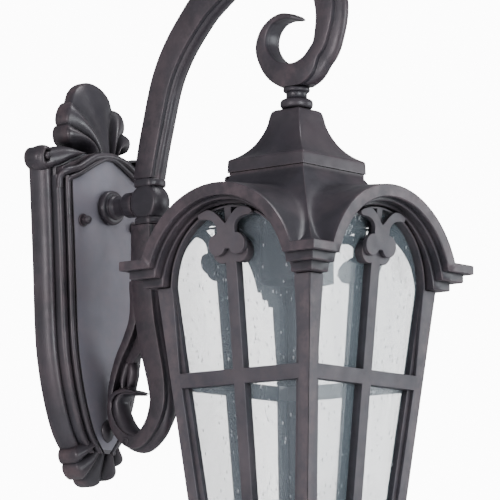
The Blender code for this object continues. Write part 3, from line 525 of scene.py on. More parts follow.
HEADER_REST = mm((64, 42), (64, 50), (35.5, 64), (17.5, 69.5), (0, 67.5))
HEADER_FRONT = -0.0285
HEADER_BACK = -0.0100
BEAD_FOOT = mm(               # (x, y, z) where the header's bead turns down into the thin bead
    (55.1, -28.2, 28), (55.6, -28.4, 35), (54.8, -30, 39.6),
)
ROLL_FOOT = mm((62.8, -23.8, 30), (63.6, -25, 39), (62.2, -28.5, 44.5), (56, -31, 47.6))
COMMA = mm(                   # roll round the scroll's head: (x, z, half width, front y, half depth)
    (68.4, 63.2, 1.8, -16.5, 8), (69.7, 66.8, 3, -18.5, 9.5), (73.8, 68.4, 3.6, -19.4, 10),
    (78, 66.8, 3.8, -19.4, 10), (80.1, 60, 3.4, -19, 10), (78, 53.5, 4.5, -19.2, 10),
    (73.5, 52, 5.8, -20, 10), (68, 54, 5.6, -21.5, 10), (62, 57, 4, -22.5, 8),
)
SHOULDER_LEAF = mm(           # (x, z, half height, front y) from the head to the leaf's tip
    (71.5, 58, 9.6, -19.2), (66.8, 59, 10.8, -22), (61.3, 60.8, 11, -25.6), (56, 63, 10, -29),
    (51.1, 64.5, 8.4, -31.5), (47, 65.2, 6.6, -33), (43, 65.6, 4.4, -34.2), (39.5, 66.1, 2.2, -35),
    (36.8, 66.6, 0.4, -35.2),
)
TOP_RIBS = mm(                # between petals, middle first: (base x, bend x, bend z, tip x, tip z, tip y)
    (5.5, 12, 98, 29.5, 121.5, -7.5), (10.5, 15, 86, 40, 97.5, -13), (16, 15, 83, 38.5, 77, -16.5),
)
TOP_PETALS = mm((23.5, -2), (5.5, -10.5), (6, -15))  # middle first: (bulge, tip y)
BOTTOM_RIBS = mm((4.5, 5.5, -232, 13, -250, -11), (9, 11, -222.5, 27.5, -236.2, -16.5),
                 (13, 17, -212, 30, -220.5, -17.5))
BOTTOM_PETALS = mm((7.5, -6), (5.5, -15), (5, -17.5))
PETAL_STEPS = 16
SHELL_BACK_Y = 0.0034


def plate_depth(d, y, z):
    """Depth of the plate's section at a height: rolls, beads and panel end under the header."""
    if z > ROLL_END_Z or (d > BAND_START and z > BAND_END_Z):
        return max(y, CUT_BACK_Y)
    return y


def plate_heights():
    """(height, half width) rows down the plate, doubled where the rolls and the band end."""
    heights = [tuple(row) for row in curve(PLATE_OUTLINE, 10)]
    (top, top_half), (low, low_half) = PLATE_OUTLINE[:2]
    for level in (ROLL_END_Z, BAND_END_Z):
        half = low_half + (level - low) * (top_half - low_half) / (top - low)
        heights += [(level, half), (level + 0.0004, half)]
    return sorted(heights, reverse=True)


def plate_body():
    """Long beaded body of the plate, hollow behind; its front panel takes a paler copy of the plate's paint,
    painted light that stands in for the key light falling on it.
    """
    section = PLATE_ROLL + arc(THIN_BEAD, THIN_BEAD_RADIUS, 180.0, 350.0, 10) + PANEL_EDGE
    inset, face_y = section[-1]
    rings = []
    for z, half in plate_heights():
        squeeze = min(1.0, (half - 0.004) / inset)
        side = [(half - d * squeeze, plate_depth(d, y, z)) for d, y in section]
        hollow = [(half - d * squeeze, y) for d, y in HOLLOW]
        ring = side + [(-x, y) for x, y in reversed(side)]
        ring += [(-x, y) for x, y in hollow] + list(reversed(hollow))
        rings.append([(x, y, z) for x, y in ring])
    obj = skin("plate_body", rings, "plate", ("backplate",), sharp=40.0)
    obj.data.materials.append(MAT["panel"])
    # Faces that look straight out of the front panel take the paler paint: painted light.
    for face in obj.data.polygons:
        in_front = face.center.y < face_y - WALL_Y + 0.0004
        if in_front and face.normal.y < -0.98 and face.area > 2e-5:
            face.material_index = 1
    head = [tuple(row) for row in curve(OGEE, 5) if row[1] > BAND_END_Z]
    foot = [(-head[0][0], BAND_END_Z - 0.0002), (head[0][0], BAND_END_Z - 0.0002)]
    outline = head + mirrored(head[:-1]) + foot
    # The panel's head takes the same paler paint, painted light.
    slab("panel_head", [outline], upright, face_y - PANEL_LIFT, HEADER_BACK, "panel")


def plate_header():
    """Ogee header over the panel, with a thin bead and a roll along it."""
    right = [tuple(row) for row in curve(OGEE, 5)]
    outline = right + mirrored(right[:-1])
    outline += [(-x, z) for x, z in HEADER_REST] + list(reversed(HEADER_REST[:-1]))
    slab("plate_header", [outline], upright, HEADER_FRONT, HEADER_BACK, "plate", bevel=0.0008)
    bead = BEAD_FOOT + [(x, -0.0318, z) for x, z in OGEE[1:]]
    roll = ROLL_FOOT + [(x, -0.0320, z + 0.0020 + 0.0045 * min(1.0, (x / 0.02) ** 2)) for x, z in OGEE[1:]]
    for hand, side in HANDS:
        for name, line, wide, deep in (("bead_", bead, 0.0029, 0.0030), ("roll_", roll, 0.0036, 0.0038)):
            path = [(side * x, z, y, wide, deep) for x, y, z in curve(line, 6)]
            skin("plate_ogee_" + name + hand, rope(path, upright, 20), "plate")


def shoulder_leaf(side):
    """Rings of the leaf that runs from the scroll's head to the shell: round in front, flat behind."""
    rings = []
    for x, z, tall, front in curve(SHOULDER_LEAF, 6):
        ring = []
        for i in range(17):
            turn = math.pi * i / 16.0
            y = -0.0100 + (front + 0.0100) * math.sin(turn) ** 0.8
            ring.append((side * x, y, z + tall * math.cos(turn)))
        rings.append(ring + [(side * x, 0.0030, z - tall), (side * x, 0.0030, z + tall)])
    return rings


def plate_scrolls():
    """Shoulder scrolls: a comma that rolls round a small knob and runs in to the shell as a leaf."""
    core = mm((0, 3.4), (11.2, 3.4), (11.2, 3.4), (11.2, -8.5), (10.4, -12.8), (8, -14.8), (0, -15.2))
    knob = mm((0, -12), (3.4, -12), (3.8, -16), (3.7, -19), (2.8, -20.8), (1.3, -21.6), (0, -21.7))
    web = mm((35, 64), (35, 69), (50, 72), (62, 71), (74, 70), (74, 48), (60, 44), (45, 50))
    for hand, side in HANDS:
        path = [(side * x, z, front + deep, wide, deep) for x, z, wide, front, deep in curve(COMMA, 8)]
        skin("scroll_roll_" + hand, rope(path, upright, 32), "casting")
        skin("shoulder_leaf_" + hand, shoulder_leaf(side), "casting", sharp=50.0)
        turned("scroll_core_" + hand, core, "casting", "wall_arm", (), to_y(side * 0.0738, 0.0600))
        turned("scroll_knob_" + hand, knob, "casting", "wall_arm", (), to_y(side * 0.0743, 0.0608), 32)
        outline = [(side * x, z) for x, z in web]
        slab("scroll_web_" + hand, [outline], upright, -0.0135, SHELL_BACK_Y, "casting", bevel=0.0010)


def rib_samples(ribs, petals):
    """Sample the ribs and petals across the shell: (base, bend, tip, tip y, swell)."""
    left = [(-base, -bend, bend_z, -tip, *rest) for base, bend, bend_z, tip, *rest in reversed(ribs)]
    whole = left + ribs
    swells = list(reversed(petals)) + petals[1:]
    samples = []
    for k, (bulge, tip_y) in enumerate(swells):
        first, last = whole[k], whole[k + 1]
        chord = Vector((last[3] - first[3], last[4] - first[4])).normalized()
        out = Vector((-chord.y, chord.x)) * (1.0 if ribs[0][4] > 0.0 else -1.0)
        for i in range(PETAL_STEPS):
            u = 2.0 * i / PETAL_STEPS - 1.0
            mid = [a + (b - a) * i / PETAL_STEPS for a, b in zip(first, last)]
            round_tip = max(0.0, 1.0 - u * u) ** 0.6
            tip = Vector((mid[3], mid[4])) + out * bulge * round_tip
            drop = mid[5] + (tip_y - (first[5] + last[5]) / 2.0) * (1.0 - u * u)
            skew = 0.55 * u * (0.0 if k == 2 else 1.0 if k < 2 else -1.0)
            swell = (1.0 - abs(u) ** 2.4) * (1.0 + skew)
            samples.append((mid[0], (mid[1], mid[2]), tip, drop, swell))
    last = whole[-1]
    samples.append((last[0], (last[1], last[2]), Vector((last[3], last[4])), last[5], 0.0))
    return samples


def shell_fan(name, base_z, base_y, ribs, petals):
    """Five-petalled shell that leans back to the wall: swelling petals with sharp valleys between."""
    samples = rib_samples(ribs, petals)
    shares = [0.965 * i / 18.0 for i in range(19)]
    steps = [(s, 0.0026 + 0.0160 * s * (1.0 - s) + 0.0010 * s, 0.0) for s in shares]
    steps += [(0.990, 0.0034, 0.0004), (1.0, 0.0028, 0.0014)]
    bm = bmesh.new()
    rows = []
    for share, ridge, edge in steps:
        near, far = (1.0 - share) ** 2, share ** 2
        middle = 1.0 - near - far
        row = []
        for base_x, bend, tip, tip_y, swell in samples:
            x = near * base_x + middle * bend[0] + far * tip.x
            z = near * base_z + middle * bend[1] + far * tip.y
            row.append(bm.verts.new((x, base_y + (tip_y - base_y) * share - ridge * swell + edge, z)))
        rows.append(row)
    foot = [bm.verts.new((v.co.x, SHELL_BACK_Y, v.co.z)) for v in rows[0]]
    rim = [bm.verts.new((v.co.x, SHELL_BACK_Y, v.co.z)) for v in rows[-1]]
    rows = [foot] + rows + [rim]
    for first, second in zip(rows, rows[1:] + rows[:1]):
        bridge(bm, first, second, closed=False)
    for side in (0, -1):
        edge = [row[side] for row in rows]
        for first, second in zip(edge[1:], edge[2:]):
            bm.faces.new((edge[0], first, second))
    piece(name, bm, "casting", "wall_arm", sharp=48.0)


def plate_root_leaf():
    """Small rounded leaf where the lower shell grows out of the beads."""
    path = mm((0, -193, -29, 2, 2.5), (0, -198.5, -30.5, 7.5, 4.5), (0, -206, -30.5, 8.5, 5.5),
        (0, -212, -29.5, 6, 5), (0, -215.5, -28, 2, 3))
    skin("plate_root_leaf", rope(curve(path, 7), upright, 28), "plate")


def dome_nut(hand, x):
    """Domed cap nut with a hexagon foot, on its round washer."""
    name = "dome_nut_" + hand
    foot = mm((2.4, -32.7), (4.6, -32.7), (4.6, -32.7), (4.8, -33.4), (4.8, -35.6), (4.2, -36.2),
              (2.4, -36.2))
    turned("nut_hexagon_" + hand, foot, "bronze", name, (name,), to_y(x, 0.0), 48, 2, ring=True,
           wobble=hexagon, sharp=28.0)
    dome = mm((4, -35.9), (4.2, -37), (3.8, -39), (2.8, -40.5), (1.5, -41.3), (0, -41.6), (0, -36),
              (4, -35.9))
    turned("nut_dome_" + hand, dome, "bronze", name, (), to_y(x, 0.0), 40)
    washer = mm((2.4, -31.3), (6.2, -31.3), (6.2, -31.3), (6.4, -31.8), (6, -32.4), (2.4, -32.4))
    turned("washer_" + hand, washer, "bronze", "wall_arm", ("nut_washer_" + hand,), to_y(x, 0.0), 48, 2,
           ring=True)


def wall_plate():
    """Everything on the wall."""
    plate_body()
    plate_header()
    plate_scrolls()
    shell_fan("shell_top", 0.0640, -0.0275, TOP_RIBS, TOP_PETALS)
    shell_fan("shell_bottom", -0.2085, -0.0265, BOTTOM_RIBS, BOTTOM_PETALS)
    plate_root_leaf()
    for hand, side in HANDS:
        dome_nut(hand, side * STUD_X)
    back_fixings()


def back_fixings():
    """Strap and terminal block behind the plate."""
    low, high = box_of("wall_bracket")
    loops = [[(low.x, low.z), (high.x, low.z), (high.x, high.z), (low.x, high.z)]]
    for x in (-0.047, 0.047):
        loops.append(arc((x + 0.0019, 0.0), 0.0026, -90.0, 90.0, 8)
                     + arc((x - 0.0019, 0.0), 0.0026, 90.0, 270.0, 8))
    slab("strap", loops, upright, low.y, high.y, "steel", nodes=("wall_bracket",), bevel=0.0004)
    low, high = box_of("terminal_block")
    width = (high.x - low.x) / 3.0
    z = (low.z + high.z) / 2.0
    half = (high.z - low.z) / 2.0
    screw = [(0.0, high.y - 0.0020), (0.0021, high.y - 0.0020), (0.0021, high.y + 0.0006),
             (0.0018, high.y + 0.0008), (0.0, high.y + 0.0008)]
    for i in range(3):
        x = low.x + width * (i + 0.5)
        outline = arc((x, z), half, 62.0, 118.0, 4) + arc((x, z), half, 242.0, 298.0, 4)
        nodes = ("terminal_block",) if i == 0 else ()
        slab("terminal_%d" % (i + 1), [outline], upright, low.y, high.y, "nylon", nodes=nodes, bevel=0.0006)
        for level, drop in (("low", -0.0042), ("high", 0.0042)):
            name = "terminal_screw_%d_%s" % (i + 1, level)
            turned(name, screw, "brass", "wall_arm", (), to_y(x, z + drop), 24, 1)


# ---------------------------------------------------------------- arm
BAR_HALF = 0.011              # half thickness of the arm across x
BEAD_HALF = 0.0062
UPPER_ARM = mm(               # (y, z, width, inner bead, outer bead) up from the hub
    (-85, 39.1, 23, 4, 3), (-89.5, 62, 23.5, 4.5, 3.5), (-95.2, 86, 24, 4.5, 3.5),
    (-107.5, 130.5, 24.5, 4.5, 3.5), (-123, 160.7, 25.5, 4.5, 3.5), (-144.5, 187.5, 26.5, 4.5, 3.5),
    (-165, 206.5, 27.5, 4.5, 3.5), (-207.7, 231.5, 27, 4.5, 4), (-255.2, 239.9, 26.5, 4, 5),
    (-296.2, 222.9, 24.5, 3, 7.5), (-313.2, 182, 21.5, 2.5, 10.5),
)
HOOK_CENTRE = (-0.269, 0.155)
HOOK = (                      # (degrees, then mm: radius, width, inner bead, outer bead) about its eye
    (190, 40.5, 15.5, 2, 12), (213, 37, 14, 2, 12), (235, 38.6, 21, 1.5, 7), (255, 38.6, 23.5, 1, 2),
    (275, 37, 23.5, 0.6, 1), (300, 35.1, 19.8, 0.5, 2), (325, 33.9, 15.7, 0.4, 2.5),
    (350, 33.4, 13, 0.4, 2.5), (375, 30.5, 9.2, 0.4, 2), (400, 26.5, 6.2, 0.4, 1.2),
    (424, 22.8, 5.8, 0.4, 0.8), (445, 20.3, 5.2, 0.4, 0.6), (458, 19.2, 4, 0.4, 0.4),
    (466, 18.9, 1.2, 0.1, 0.1),
)
# The lower scroll and its leaf take the same columns as the arm
LOWER_SCROLL = mm((-82.5, -6.4, 24, 3, 3), (-83, -35, 25.5, 2.5, 3), (-84, -64, 26, 2, 3),
    (-88.5, -98, 24.5, 2, 3), (-94, -124, 24.5, 2, 3), (-102, -154, 22.5, 2, 3),
    (-105.3, -176, 19.6, 2, 3.5), (-102.8, -190, 18.5, 2, 5), (-96, -203, 16, 2, 7.5),
    (-83.2, -215.2, 14, 1, 6), (-70, -217, 12.5, 0.5, 3), (-57.2, -210.3, 10.4, 0.5, 2),
    (-48, -199.5, 8.2, 0.5, 1.5), (-43, -186.5, 6, 0.5, 1), (-43.6, -176, 5, 0.4, 0.8),
    (-49, -169.5, 4.4, 0.3, 0.6), (-58, -167.2, 3.8, 0.3, 0.5), (-68, -167.6, 2.6, 0.2, 0.4),
    (-77.5, -170.2, 0.8, 0.1, 0.1))
SCROLL_LEAF = mm((-43, -186, 5.2, 0.4, 1), (-43.4, -170, 6.4, 0.5, 1.4), (-46.8, -154.5, 7.6, 0.6, 2),
    (-54.2, -135.5, 8.8, 0.8, 2), (-64.5, -117.9, 9.8, 0.8, 2), (-72.2, -100.2, 10, 0.8, 2),
    (-73.6, -82, 9.4, 0.8, 1.8), (-70.8, -66, 6.2, 0.6, 1), (-69.2, -61, 2, 0.2, 0.2))
LEAF_NARROWING = 0.0003       # each side of the leaf lies this far inside the bar's
CURL_ROLL = mm(               # (y, z, half width, half depth in x) of the roll inside the curl
    (-85, -210.5, 1, 8), (-75.2, -211.2, 4.6, 9.8), (-63, -206.8, 8.2, 10), (-54.8, -198.5, 9.6, 10),
    (-50, -187, 8.6, 10), (-50, -176.5, 6.2, 9.8), (-56.5, -169.7, 3.8, 9.2), (-66.5, -169, 3, 8.2),
    (-76.5, -170.8, 1.8, 6), (-83.5, -172.7, 0.3, 1),
)
BUD_LOBES = (                 # two lobes and three small beads at their root, in the same order of numbers
    mm((-54, -164, 2.8, 5), (-53.6, -156, 4.4, 5.6), (-56.2, -147, 5, 5.6), (-60, -140, 3.8, 5),
        (-62, -136.8, 0.6, 1.4)),
    mm((-61.2, -164.5, 2.8, 5), (-64, -157, 5.2, 6), (-65.2, -149, 5.8, 6), (-64.4, -142, 4.4, 5.4),
        (-62, -137.8, 0.6, 1.4)),
    mm((-49, -165.5, 0.6, 1.4), (-52, -165, 3.4, 6.2), (-55.2, -165.2, 0.6, 1.4)),
    mm((-55.2, -165.8, 0.6, 1.4), (-58, -165.2, 3.2, 6.4), (-61, -165.4, 0.6, 1.4)),
    mm((-61, -165.6, 0.6, 1.4), (-63.8, -165.2, 3, 6.2), (-66.8, -166, 0.6, 1.4)),
)
LEAF_WEB = mm(                # (y, z) outline of the web between the leaf, the arm and the bud
    (-76.5, -99), (-81.5, -118), (-79, -129), (-70, -138), (-64, -143), (-56, -144), (-56, -135),
    (-67.5, -116),
)


def hook_station(angle, *sizes):
    """Turn a place given around the hook's eye into an arm station."""
    turn = math.radians(angle)
    radius, width, inner, outer = mm(sizes)[0]
    y = HOOK_CENTRE[0] + radius * math.cos(turn)
    z = HOOK_CENTRE[1] + radius * math.sin(turn)
    return (y, z, width, inner, outer)


def bar_half_section(half, bead, edge, side):
    """Half of the bar's outline, from one side face over the beaded edge to the other."""
    rows = [(side, half - edge), (side - 0.3 * edge, half - 0.3 * edge), (side - edge, half)]
    rows.append((BEAD_HALF + 0.0008, half))
    rows.append((BEAD_HALF, half + 0.0002))
    rows += [(BEAD_HALF * 0.96 * a, half + bead * b) for a, b in arc((0.0, 0.0), 1.0, 8.0, 172.0, 10)]
    rows.append((-BEAD_HALF, half + 0.0002))
    rows.append((-BEAD_HALF - 0.0008, half))
    return rows + [(edge - side, half), (0.3 * edge - side, half - 0.3 * edge), (-side, half - edge)]


def beaded_bar(stations, side=BAR_HALF):
    """Rings of the arm's section along its stations; the start is level."""
    rows = curve(stations, 7)
    rings = []
    for i, (y, z, width, inner, outer) in enumerate(rows):
        along = heading(rows, i)
        if i == 0:
            along = Vector((0.0, math.copysign(1.0, along.y)))
        half = width / 2.0
        edge = min(0.0011, half * 0.6)
        upper = bar_half_section(half, outer, edge, side)
        lower = [(-x, -n) for x, n in bar_half_section(half, inner, edge, side)]
        rings.append([(x, y + n * along.y, z - n * along.x) for x, n in upper + lower])
    return rings


def upper_arm():
    """Arched arm with its hook, cut flat where it sits on the spindle."""
    seat = box_of("hanger_spindle")[1].z + 0.0003
    rings = []
    for ring in beaded_bar(UPPER_ARM + [hook_station(*row) for row in HOOK]):
        rings.append([(x, y, max(z, seat) if abs(y - LANTERN_Y) < 0.03 else z) for x, y, z in ring])
    skin("arm_bar", rings, "bronze", ("upper_arm",), sharp=40.0)
    screw = mm((0, -8.8), (1.9, -8.8), (2.1, -9.4), (1.7, -9.8), (0.9, -9.8), (0.8, -9), (0, -9))
    turned("arm_screw_head", screw, "steel", "wall_arm", ("arm_grub_screw",), to_x(-0.0940, 0.0950), 24, 1)


def soft_rope(name, stations):
    """Soft oval rope in the arm's plane, along (y, z, half width, half depth in x) stations."""
    path = [(y, z, 0.0, wide, deep) for y, z, wide, deep in curve(stations, 7)]
    skin(name, rope(path, sideways, 28), "bronze")


def lower_scroll():
    """J scroll with its leaf, the roll in its curl, its bud and the plug on its side."""
    skin("scroll_bar", beaded_bar(LOWER_SCROLL), "bronze", ("lower_scroll",), sharp=40.0)
    skin("scroll_leaf", beaded_bar(SCROLL_LEAF, BAR_HALF - LEAF_NARROWING), "bronze", sharp=40.0)
    soft_rope("scroll_curl_roll", CURL_ROLL)
    for i, lobe in enumerate(BUD_LOBES):
        soft_rope("scroll_bud_%d" % (i + 1), lobe)
    slab("scroll_web", [LEAF_WEB], sideways, -0.0040, 0.0040, "bronze", bevel=0.0012)
    plug = mm((0, -8), (4.2, -8), (4.2, -11), (3.6, -11.7), (2.4, -11.7), (2, -10.9), (0.9, -10.7),
        (0, -11.3))
    turned("scroll_plug_head", plug, "bronze", "wall_arm", ("scroll_plug",), to_x(-0.0650, -0.2165), 36, 2)


def hub_ring(z, radius, flat, sides=72):
    """Round section with two flats, eased where they meet."""
    ring = []
    for i in range(sides):
        angle = 2.0 * math.pi * i / sides
        x = radius * math.cos(angle)
        x = -smooth_max(-x, -flat, 0.0016) if x > 0.0 else smooth_max(x, -flat, 0.0016)
        ring.append((x, ARM_Y + radius * math.sin(angle), z))
    return ring


def hub_and_neck():
    """Hub between arm and scroll, and the turned neck that holds it off the plate."""
    rows = mm((-6, 12.8, 11), (-5.4, 14.2, 12.1), (-2.2, 14.7, 12.4), (0.2, 14.2, 12.1), (1, 13, 11.2),
        (1.6, 13, 11), (2.4, 14.1, 11.2), (6, 16.8, 11.4), (11, 18.9, 11.6), (16, 19.5, 11.8),
        (21, 18.9, 11.6), (26, 16.8, 11.4), (29.4, 14.1, 11.2), (30.1, 13, 11), (30.8, 13.2, 11.2),
        (31.6, 15, 12.4), (34.6, 15.5, 12.7), (37.8, 15, 12.4), (38.7, 13.4, 11.2))
    skin("hub", [hub_ring(*row) for row in curve(rows, 4)], "bronze", ("arm_hub",), sharp=42.0)
    neck = mm((5.3, -31.3), (14.8, -31.3), (16.4, -32), (17, -34.8), (16.4, -37.8), (14.6, -39),
        (12.2, -39.3), (11.7, -40.3), (11.8, -42), (10.6, -43.2), (9.7, -44.4), (9.3, -46), (9.3, -54),
        (9.9, -55.3), (11.2, -56), (12.2, -57.8), (12.5, -61), (12.2, -69.8), (9, -67.8), (5.3, -66.4))
    turned("neck", neck, "bronze", "wall_arm", ("arm_neck",), to_y(0.0, NECK_Z), 72, 4, ring=True, sharp=50.0)


# ---------------------------------------------------------------- cap and lamp holder
def raised(base, *rows):
    """Rows of (radius, height over a base height), both in millimetres, as rows of metres."""
    return [(across, base + up) for across, up in mm(*rows)]


def cap_and_spindle():
    """Square cap and the turned spindle above it."""
    low, high = (corner.z for corner in box_of("cap"))
    band = low + 0.0165
    profile = raised(high, (5.3, 0), (8, 0), (8, 0), (12.2, -0.2), (15.2, -1), (17.2, -2.8), (18.1, -5.5),
                     (18.9, -9), (19.8, -14), (21.6, -20), (24.5, -26.8), (28.3, -33.8), (32.5, -39.2),
                     (37, -43.6), (41.5, -46.8), (44.8, -48.5), (46, -49.6))
    profile += raised(band, (46.4, 9.5), (46.7, 1), (46.7, 0), (46.7, 0), (44, 0), (44, 0), (40.5, 0),
                      (40.5, 0))
    profile += raised(low, (40.5, 0), (40.5, 0), (37.5, 0), (37.5, 0))
    profile += raised(high, (37.5, -51.5), (29, -41), (22, -29), (16.5, -11), (5.3, -4))
    square_turned("cap_shell", profile, "bronze", "wall_arm", ("cap",), 3, 0.0014, ring=True, sharp=50.0)
    spindle = mm((5.3, 106.8), (10.4, 106.8), (12, 106.3), (12.8, 104.4), (12.1, 102.5), (10.7, 101.7),
        (10.1, 100.8), (9.9, 98.6), (10.2, 96.6), (11.4, 95.7), (13.4, 94.9), (15, 93.6), (15.6, 90.6),
        (15, 87.8), (13.4, 86.2), (11, 85.8), (5.3, 85.8))
    turned("spindle", spindle, "bronze", "wall_arm", ("hanger_spindle",), ON_AXIS, 72, 4, ring=True,
           sharp=50.0)


def threaded_tube(name, node, place, low, high, step=0.0010):
    """Tube with a fine thread, in rings."""
    profile = [(0.0036, low), (0.0045, low), (0.0045, low)]
    count = int((high - low) / step)
    for i in range(count):
        base = low + step * i
        profile += [(0.0046, base + 0.15 * step), (0.0050, base + 0.5 * step), (0.0046, base + 0.85 * step)]
    profile += [(0.0045, high), (0.0045, high), (0.0036, high)]
    turned(name, profile, "steel", "wall_arm", (node,), place, 20, 1, ring=True, sharp=60.0)


def hexagon_nut(name, node, body, place, low, high, radius=0.0088, bore=0.0056):
    """Hexagon locknut with eased corners."""
    profile = [(bore, low), (radius * 0.93, low), (radius, low + 0.0006), (radius, high - 0.0006),
               (radius * 0.93, high), (bore, high)]
    turned(name, profile, "steel", body, (node,), place, 48, 1, ring=True, wobble=hexagon, sharp=28.0)


def lamp_holder():
    """Cover cup, porcelain holder, its brass thread and contact, and the tubes and nuts."""
    foot, top = (corner.z for corner in box_of("lamp_cup"))
    cup = raised(top, (5.3, 0), (26, 0), (31, -1), (33.8, -4), (34.5, -8))
    cup += raised(foot, (34.55, 6), (34.75, 4.5), (34.75, 0), (34.75, 0), (33.2, 0), (33.2, 0))
    cup += raised(top, (33.1, -8), (32, -4.5), (29, -2.6), (5.3, -2.5))
    turned("cup", cup, "bronze", "wall_arm", ("lamp_cup",), ON_AXIS, 80, 3, ring=True, sharp=50.0)
    holder = mm((5.3, -15), (13, -15), (14.2, -15.8), (19, -21.5), (19.5, -23.5), (19.5, -38), (19, -38.8),
        (19, -40), (19.5, -40.8), (19.5, -60), (18.8, -64), (17.8, -65), (15, -65), (14.2, -64.2),
        (14.2, -34), (5.3, -34))
    turned("holder", holder, "porcelain", "wall_arm", ("lamp_holder",), ON_AXIS, 64, 2, ring=True, sharp=45.0)
    thread = [(0.0138, -0.0630)]
    for i in range(8):
        thread += raised(-0.0628 + 0.0031 * i, (13.3, 0), (12.8, 0.8), (13.3, 1.6))
    thread += [(0.0138, -0.0380)]
    turned("holder_shell", thread, "brass", "wall_arm", ("holder_thread",), ON_AXIS, 48, 2, ring=True,
           sharp=60.0)
    outline = arc((-0.0040, LANTERN_Y), 0.0020, 90.0, 270.0, 6)
    outline += [(0.0060, LANTERN_Y - 0.0020), (0.0060, LANTERN_Y + 0.0020)]
    slab("centre_contact", [outline], lying, -0.0360, -0.0345, "brass", nodes=("holder_contact",),
         bevel=0.0003)
    in_neck = to_y(0.0, NECK_Z)
    threaded_tube("hanger_tube", "hanger_nipple", ON_AXIS, *(corner.z for corner in box_of("hanger_nipple")))
    threaded_tube("neck_tube", "arm_nipple", in_neck, *(corner.y for corner in box_of("arm_nipple")))
    for node in ("hanger_locknut", "cup_nut"):
        low, high = box_of(node)
        hexagon_nut(node + "_hex", node, "wall_arm", ON_AXIS, low.z, high.z)
    low, high = box_of("arm_locknut")
    hexagon_nut("arm_locknut_hex", "arm_locknut", "wall_arm", in_neck, low.y, high.y)


# ---------------------------------------------------------------- roof
EAVE = box_of("roof")[1].x
EAVE_TOP_Z = -0.061
EAVE_BOTTOM_Z = -0.070
ARCH_Z = -0.0938
ARCH_OUTER = 0.0958
FASCIA_INNER = 0.084
STEPS = mm((111, 81, -78), (102, 78, -86))  # (reach, arch radius, foot height)
NECK_INNER = 0.0415
NECK_OUTER = 0.0450
NECK_TOP_Z = 0.0242
HIP_TOP_Z = 0.020
HIP_SLOPE = 1.6
RIDGE_RISE = 0.006
ROOF_SKIN = 0.005
ROOF_FILLET = 0.010
ACROSS = 44                   # samples across each face of the roof


def arch_height(x, radius, foot):
    """Height of an arch at x across the face, never below its foot."""
    inside = radius * radius - x * x
    return max(foot, ARCH_Z + math.sqrt(inside)) if inside > 0.0 else foot


def roof_top(x, r):
    """Outer height of the roof at x across a face and r out from the axis."""
    rise = RIDGE_RISE * (EAVE - r) / (EAVE - NECK_OUTER)
    crown = arch_height(x, ARCH_OUTER, EAVE_TOP_Z - 0.02) + rise
    dormer = max(EAVE_TOP_Z, crown)
    hip = HIP_TOP_Z - HIP_SLOPE * (r - NECK_OUTER) + 0.010 * ((r - NECK_OUTER) / 0.05) ** 2
    return smooth_max(dormer, hip, ROOF_FILLET)


def roof_row(r, radius, spring, height):
    """One row of (x, r, z) across a face, dense on the arch, with a few points to each corner."""
    reach = math.asin(spring / radius)
    across = [radius * math.sin(reach * (2.0 * i / ACROSS - 1.0)) for i in range(ACROSS + 1)]
    outer = [across[-1] + (r - across[-1]) * t for t in (0.02, 0.25, 0.5, 0.75, 1.0)]
    xs = [-x for x in reversed(outer)] + across + outer
    return [(x, r, height(x)) for x in xs]


def roof_rows():
    """Section of the roof, from the fascia over the top and back underneath."""
    rows = []
    ease = 0.0009
    rows.append(roof_row(EAVE, ARCH_OUTER, 0.0900, lambda x: roof_top(x, EAVE) - ease))
    count = 26
    for i in range(count + 1):
        r = EAVE - 0.0005 + (NECK_OUTER - EAVE + 0.0005) * i / count if i else EAVE - ease
        rows.append(roof_row(r, ARCH_OUTER, min(0.0900, 0.94 * r), lambda x, r=r: roof_top(x, r)))
    for r, z in ((NECK_OUTER, NECK_TOP_Z), (NECK_INNER, NECK_TOP_Z), (NECK_INNER, 0.0120)):
        rows.append(roof_row(r, ARCH_OUTER, 0.94 * r, lambda x, z=z: z))
    for i in range(9):
        r = 0.050 + 0.0042 * i
        rows.append(roof_row(r, ARCH_OUTER, 0.94 * r, lambda x, r=r: roof_top(x, r) - ROOF_SKIN))
    edges = [(EAVE, FASCIA_INNER, EAVE_BOTTOM_Z)] + STEPS
    inner = (EAVE, STEPS[0][0], STEPS[1][0], 0.0840)
    for i in (2, 1, 0):
        _, radius, foot = edges[i]
        spring = math.sqrt(radius ** 2 - (ARCH_Z - foot) ** 2)
        for r in (inner[i + 1], inner[i + 1] + 0.0004, inner[i] - ease):
            rows.append(roof_row(r, radius, spring, lambda x, a=radius, f=foot: arch_height(x, a, f)))
        wide = radius + ease
        rows.append(roof_row(inner[i], wide, spring, lambda x, a=wide, f=foot: arch_height(x, a, f + ease)))
    return rows


def roof():
    """Cast roof of four dormers under a square neck, with stepped arches at the eave."""
    bm = bmesh.new()
    rows = roof_rows()
    for cos, sin in TURNS:
        rings = [[bm.verts.new((x * cos + r * sin, LANTERN_Y + x * sin - r * cos, z)) for x, r, z in row]
                 for row in rows]
        for first, second in zip(rings, rings[1:] + rings[:1]):
            bridge(bm, first, second, closed=False)
    piece("roof_shell", bm, "bronze", "lantern_body", ("roof",), sharp=42.0)
    thumb_screw("lock_screw_left")
    thumb_screw("lock_screw_right")


def thumb_screw(name):
    """Knurled thumb screw that bears on the cap's skirt."""
    start, end = (corner.y for corner in box_of(name))
    profile = raised(start, (0, 0), (1.9, 0), (2, 0.3))
    profile += raised(end - 0.0053, (2, 0), (2, 0), (3.4, 0), (4.4, 0.5), (4.6, 1), (4.6, 2.8), (4.3, 3.6),
                      (3.3, 4.5), (1.8, 5), (0, 5.1))
    turned(name + "_knurled", profile, "bronze", name, (name,), to_y(middle(name, 0), middle(name, 2)), 72, 3,
           wobble=lambda angle: 1.0 - 0.020 * (1.0 + math.cos(24.0 * angle)), sharp=40.0)


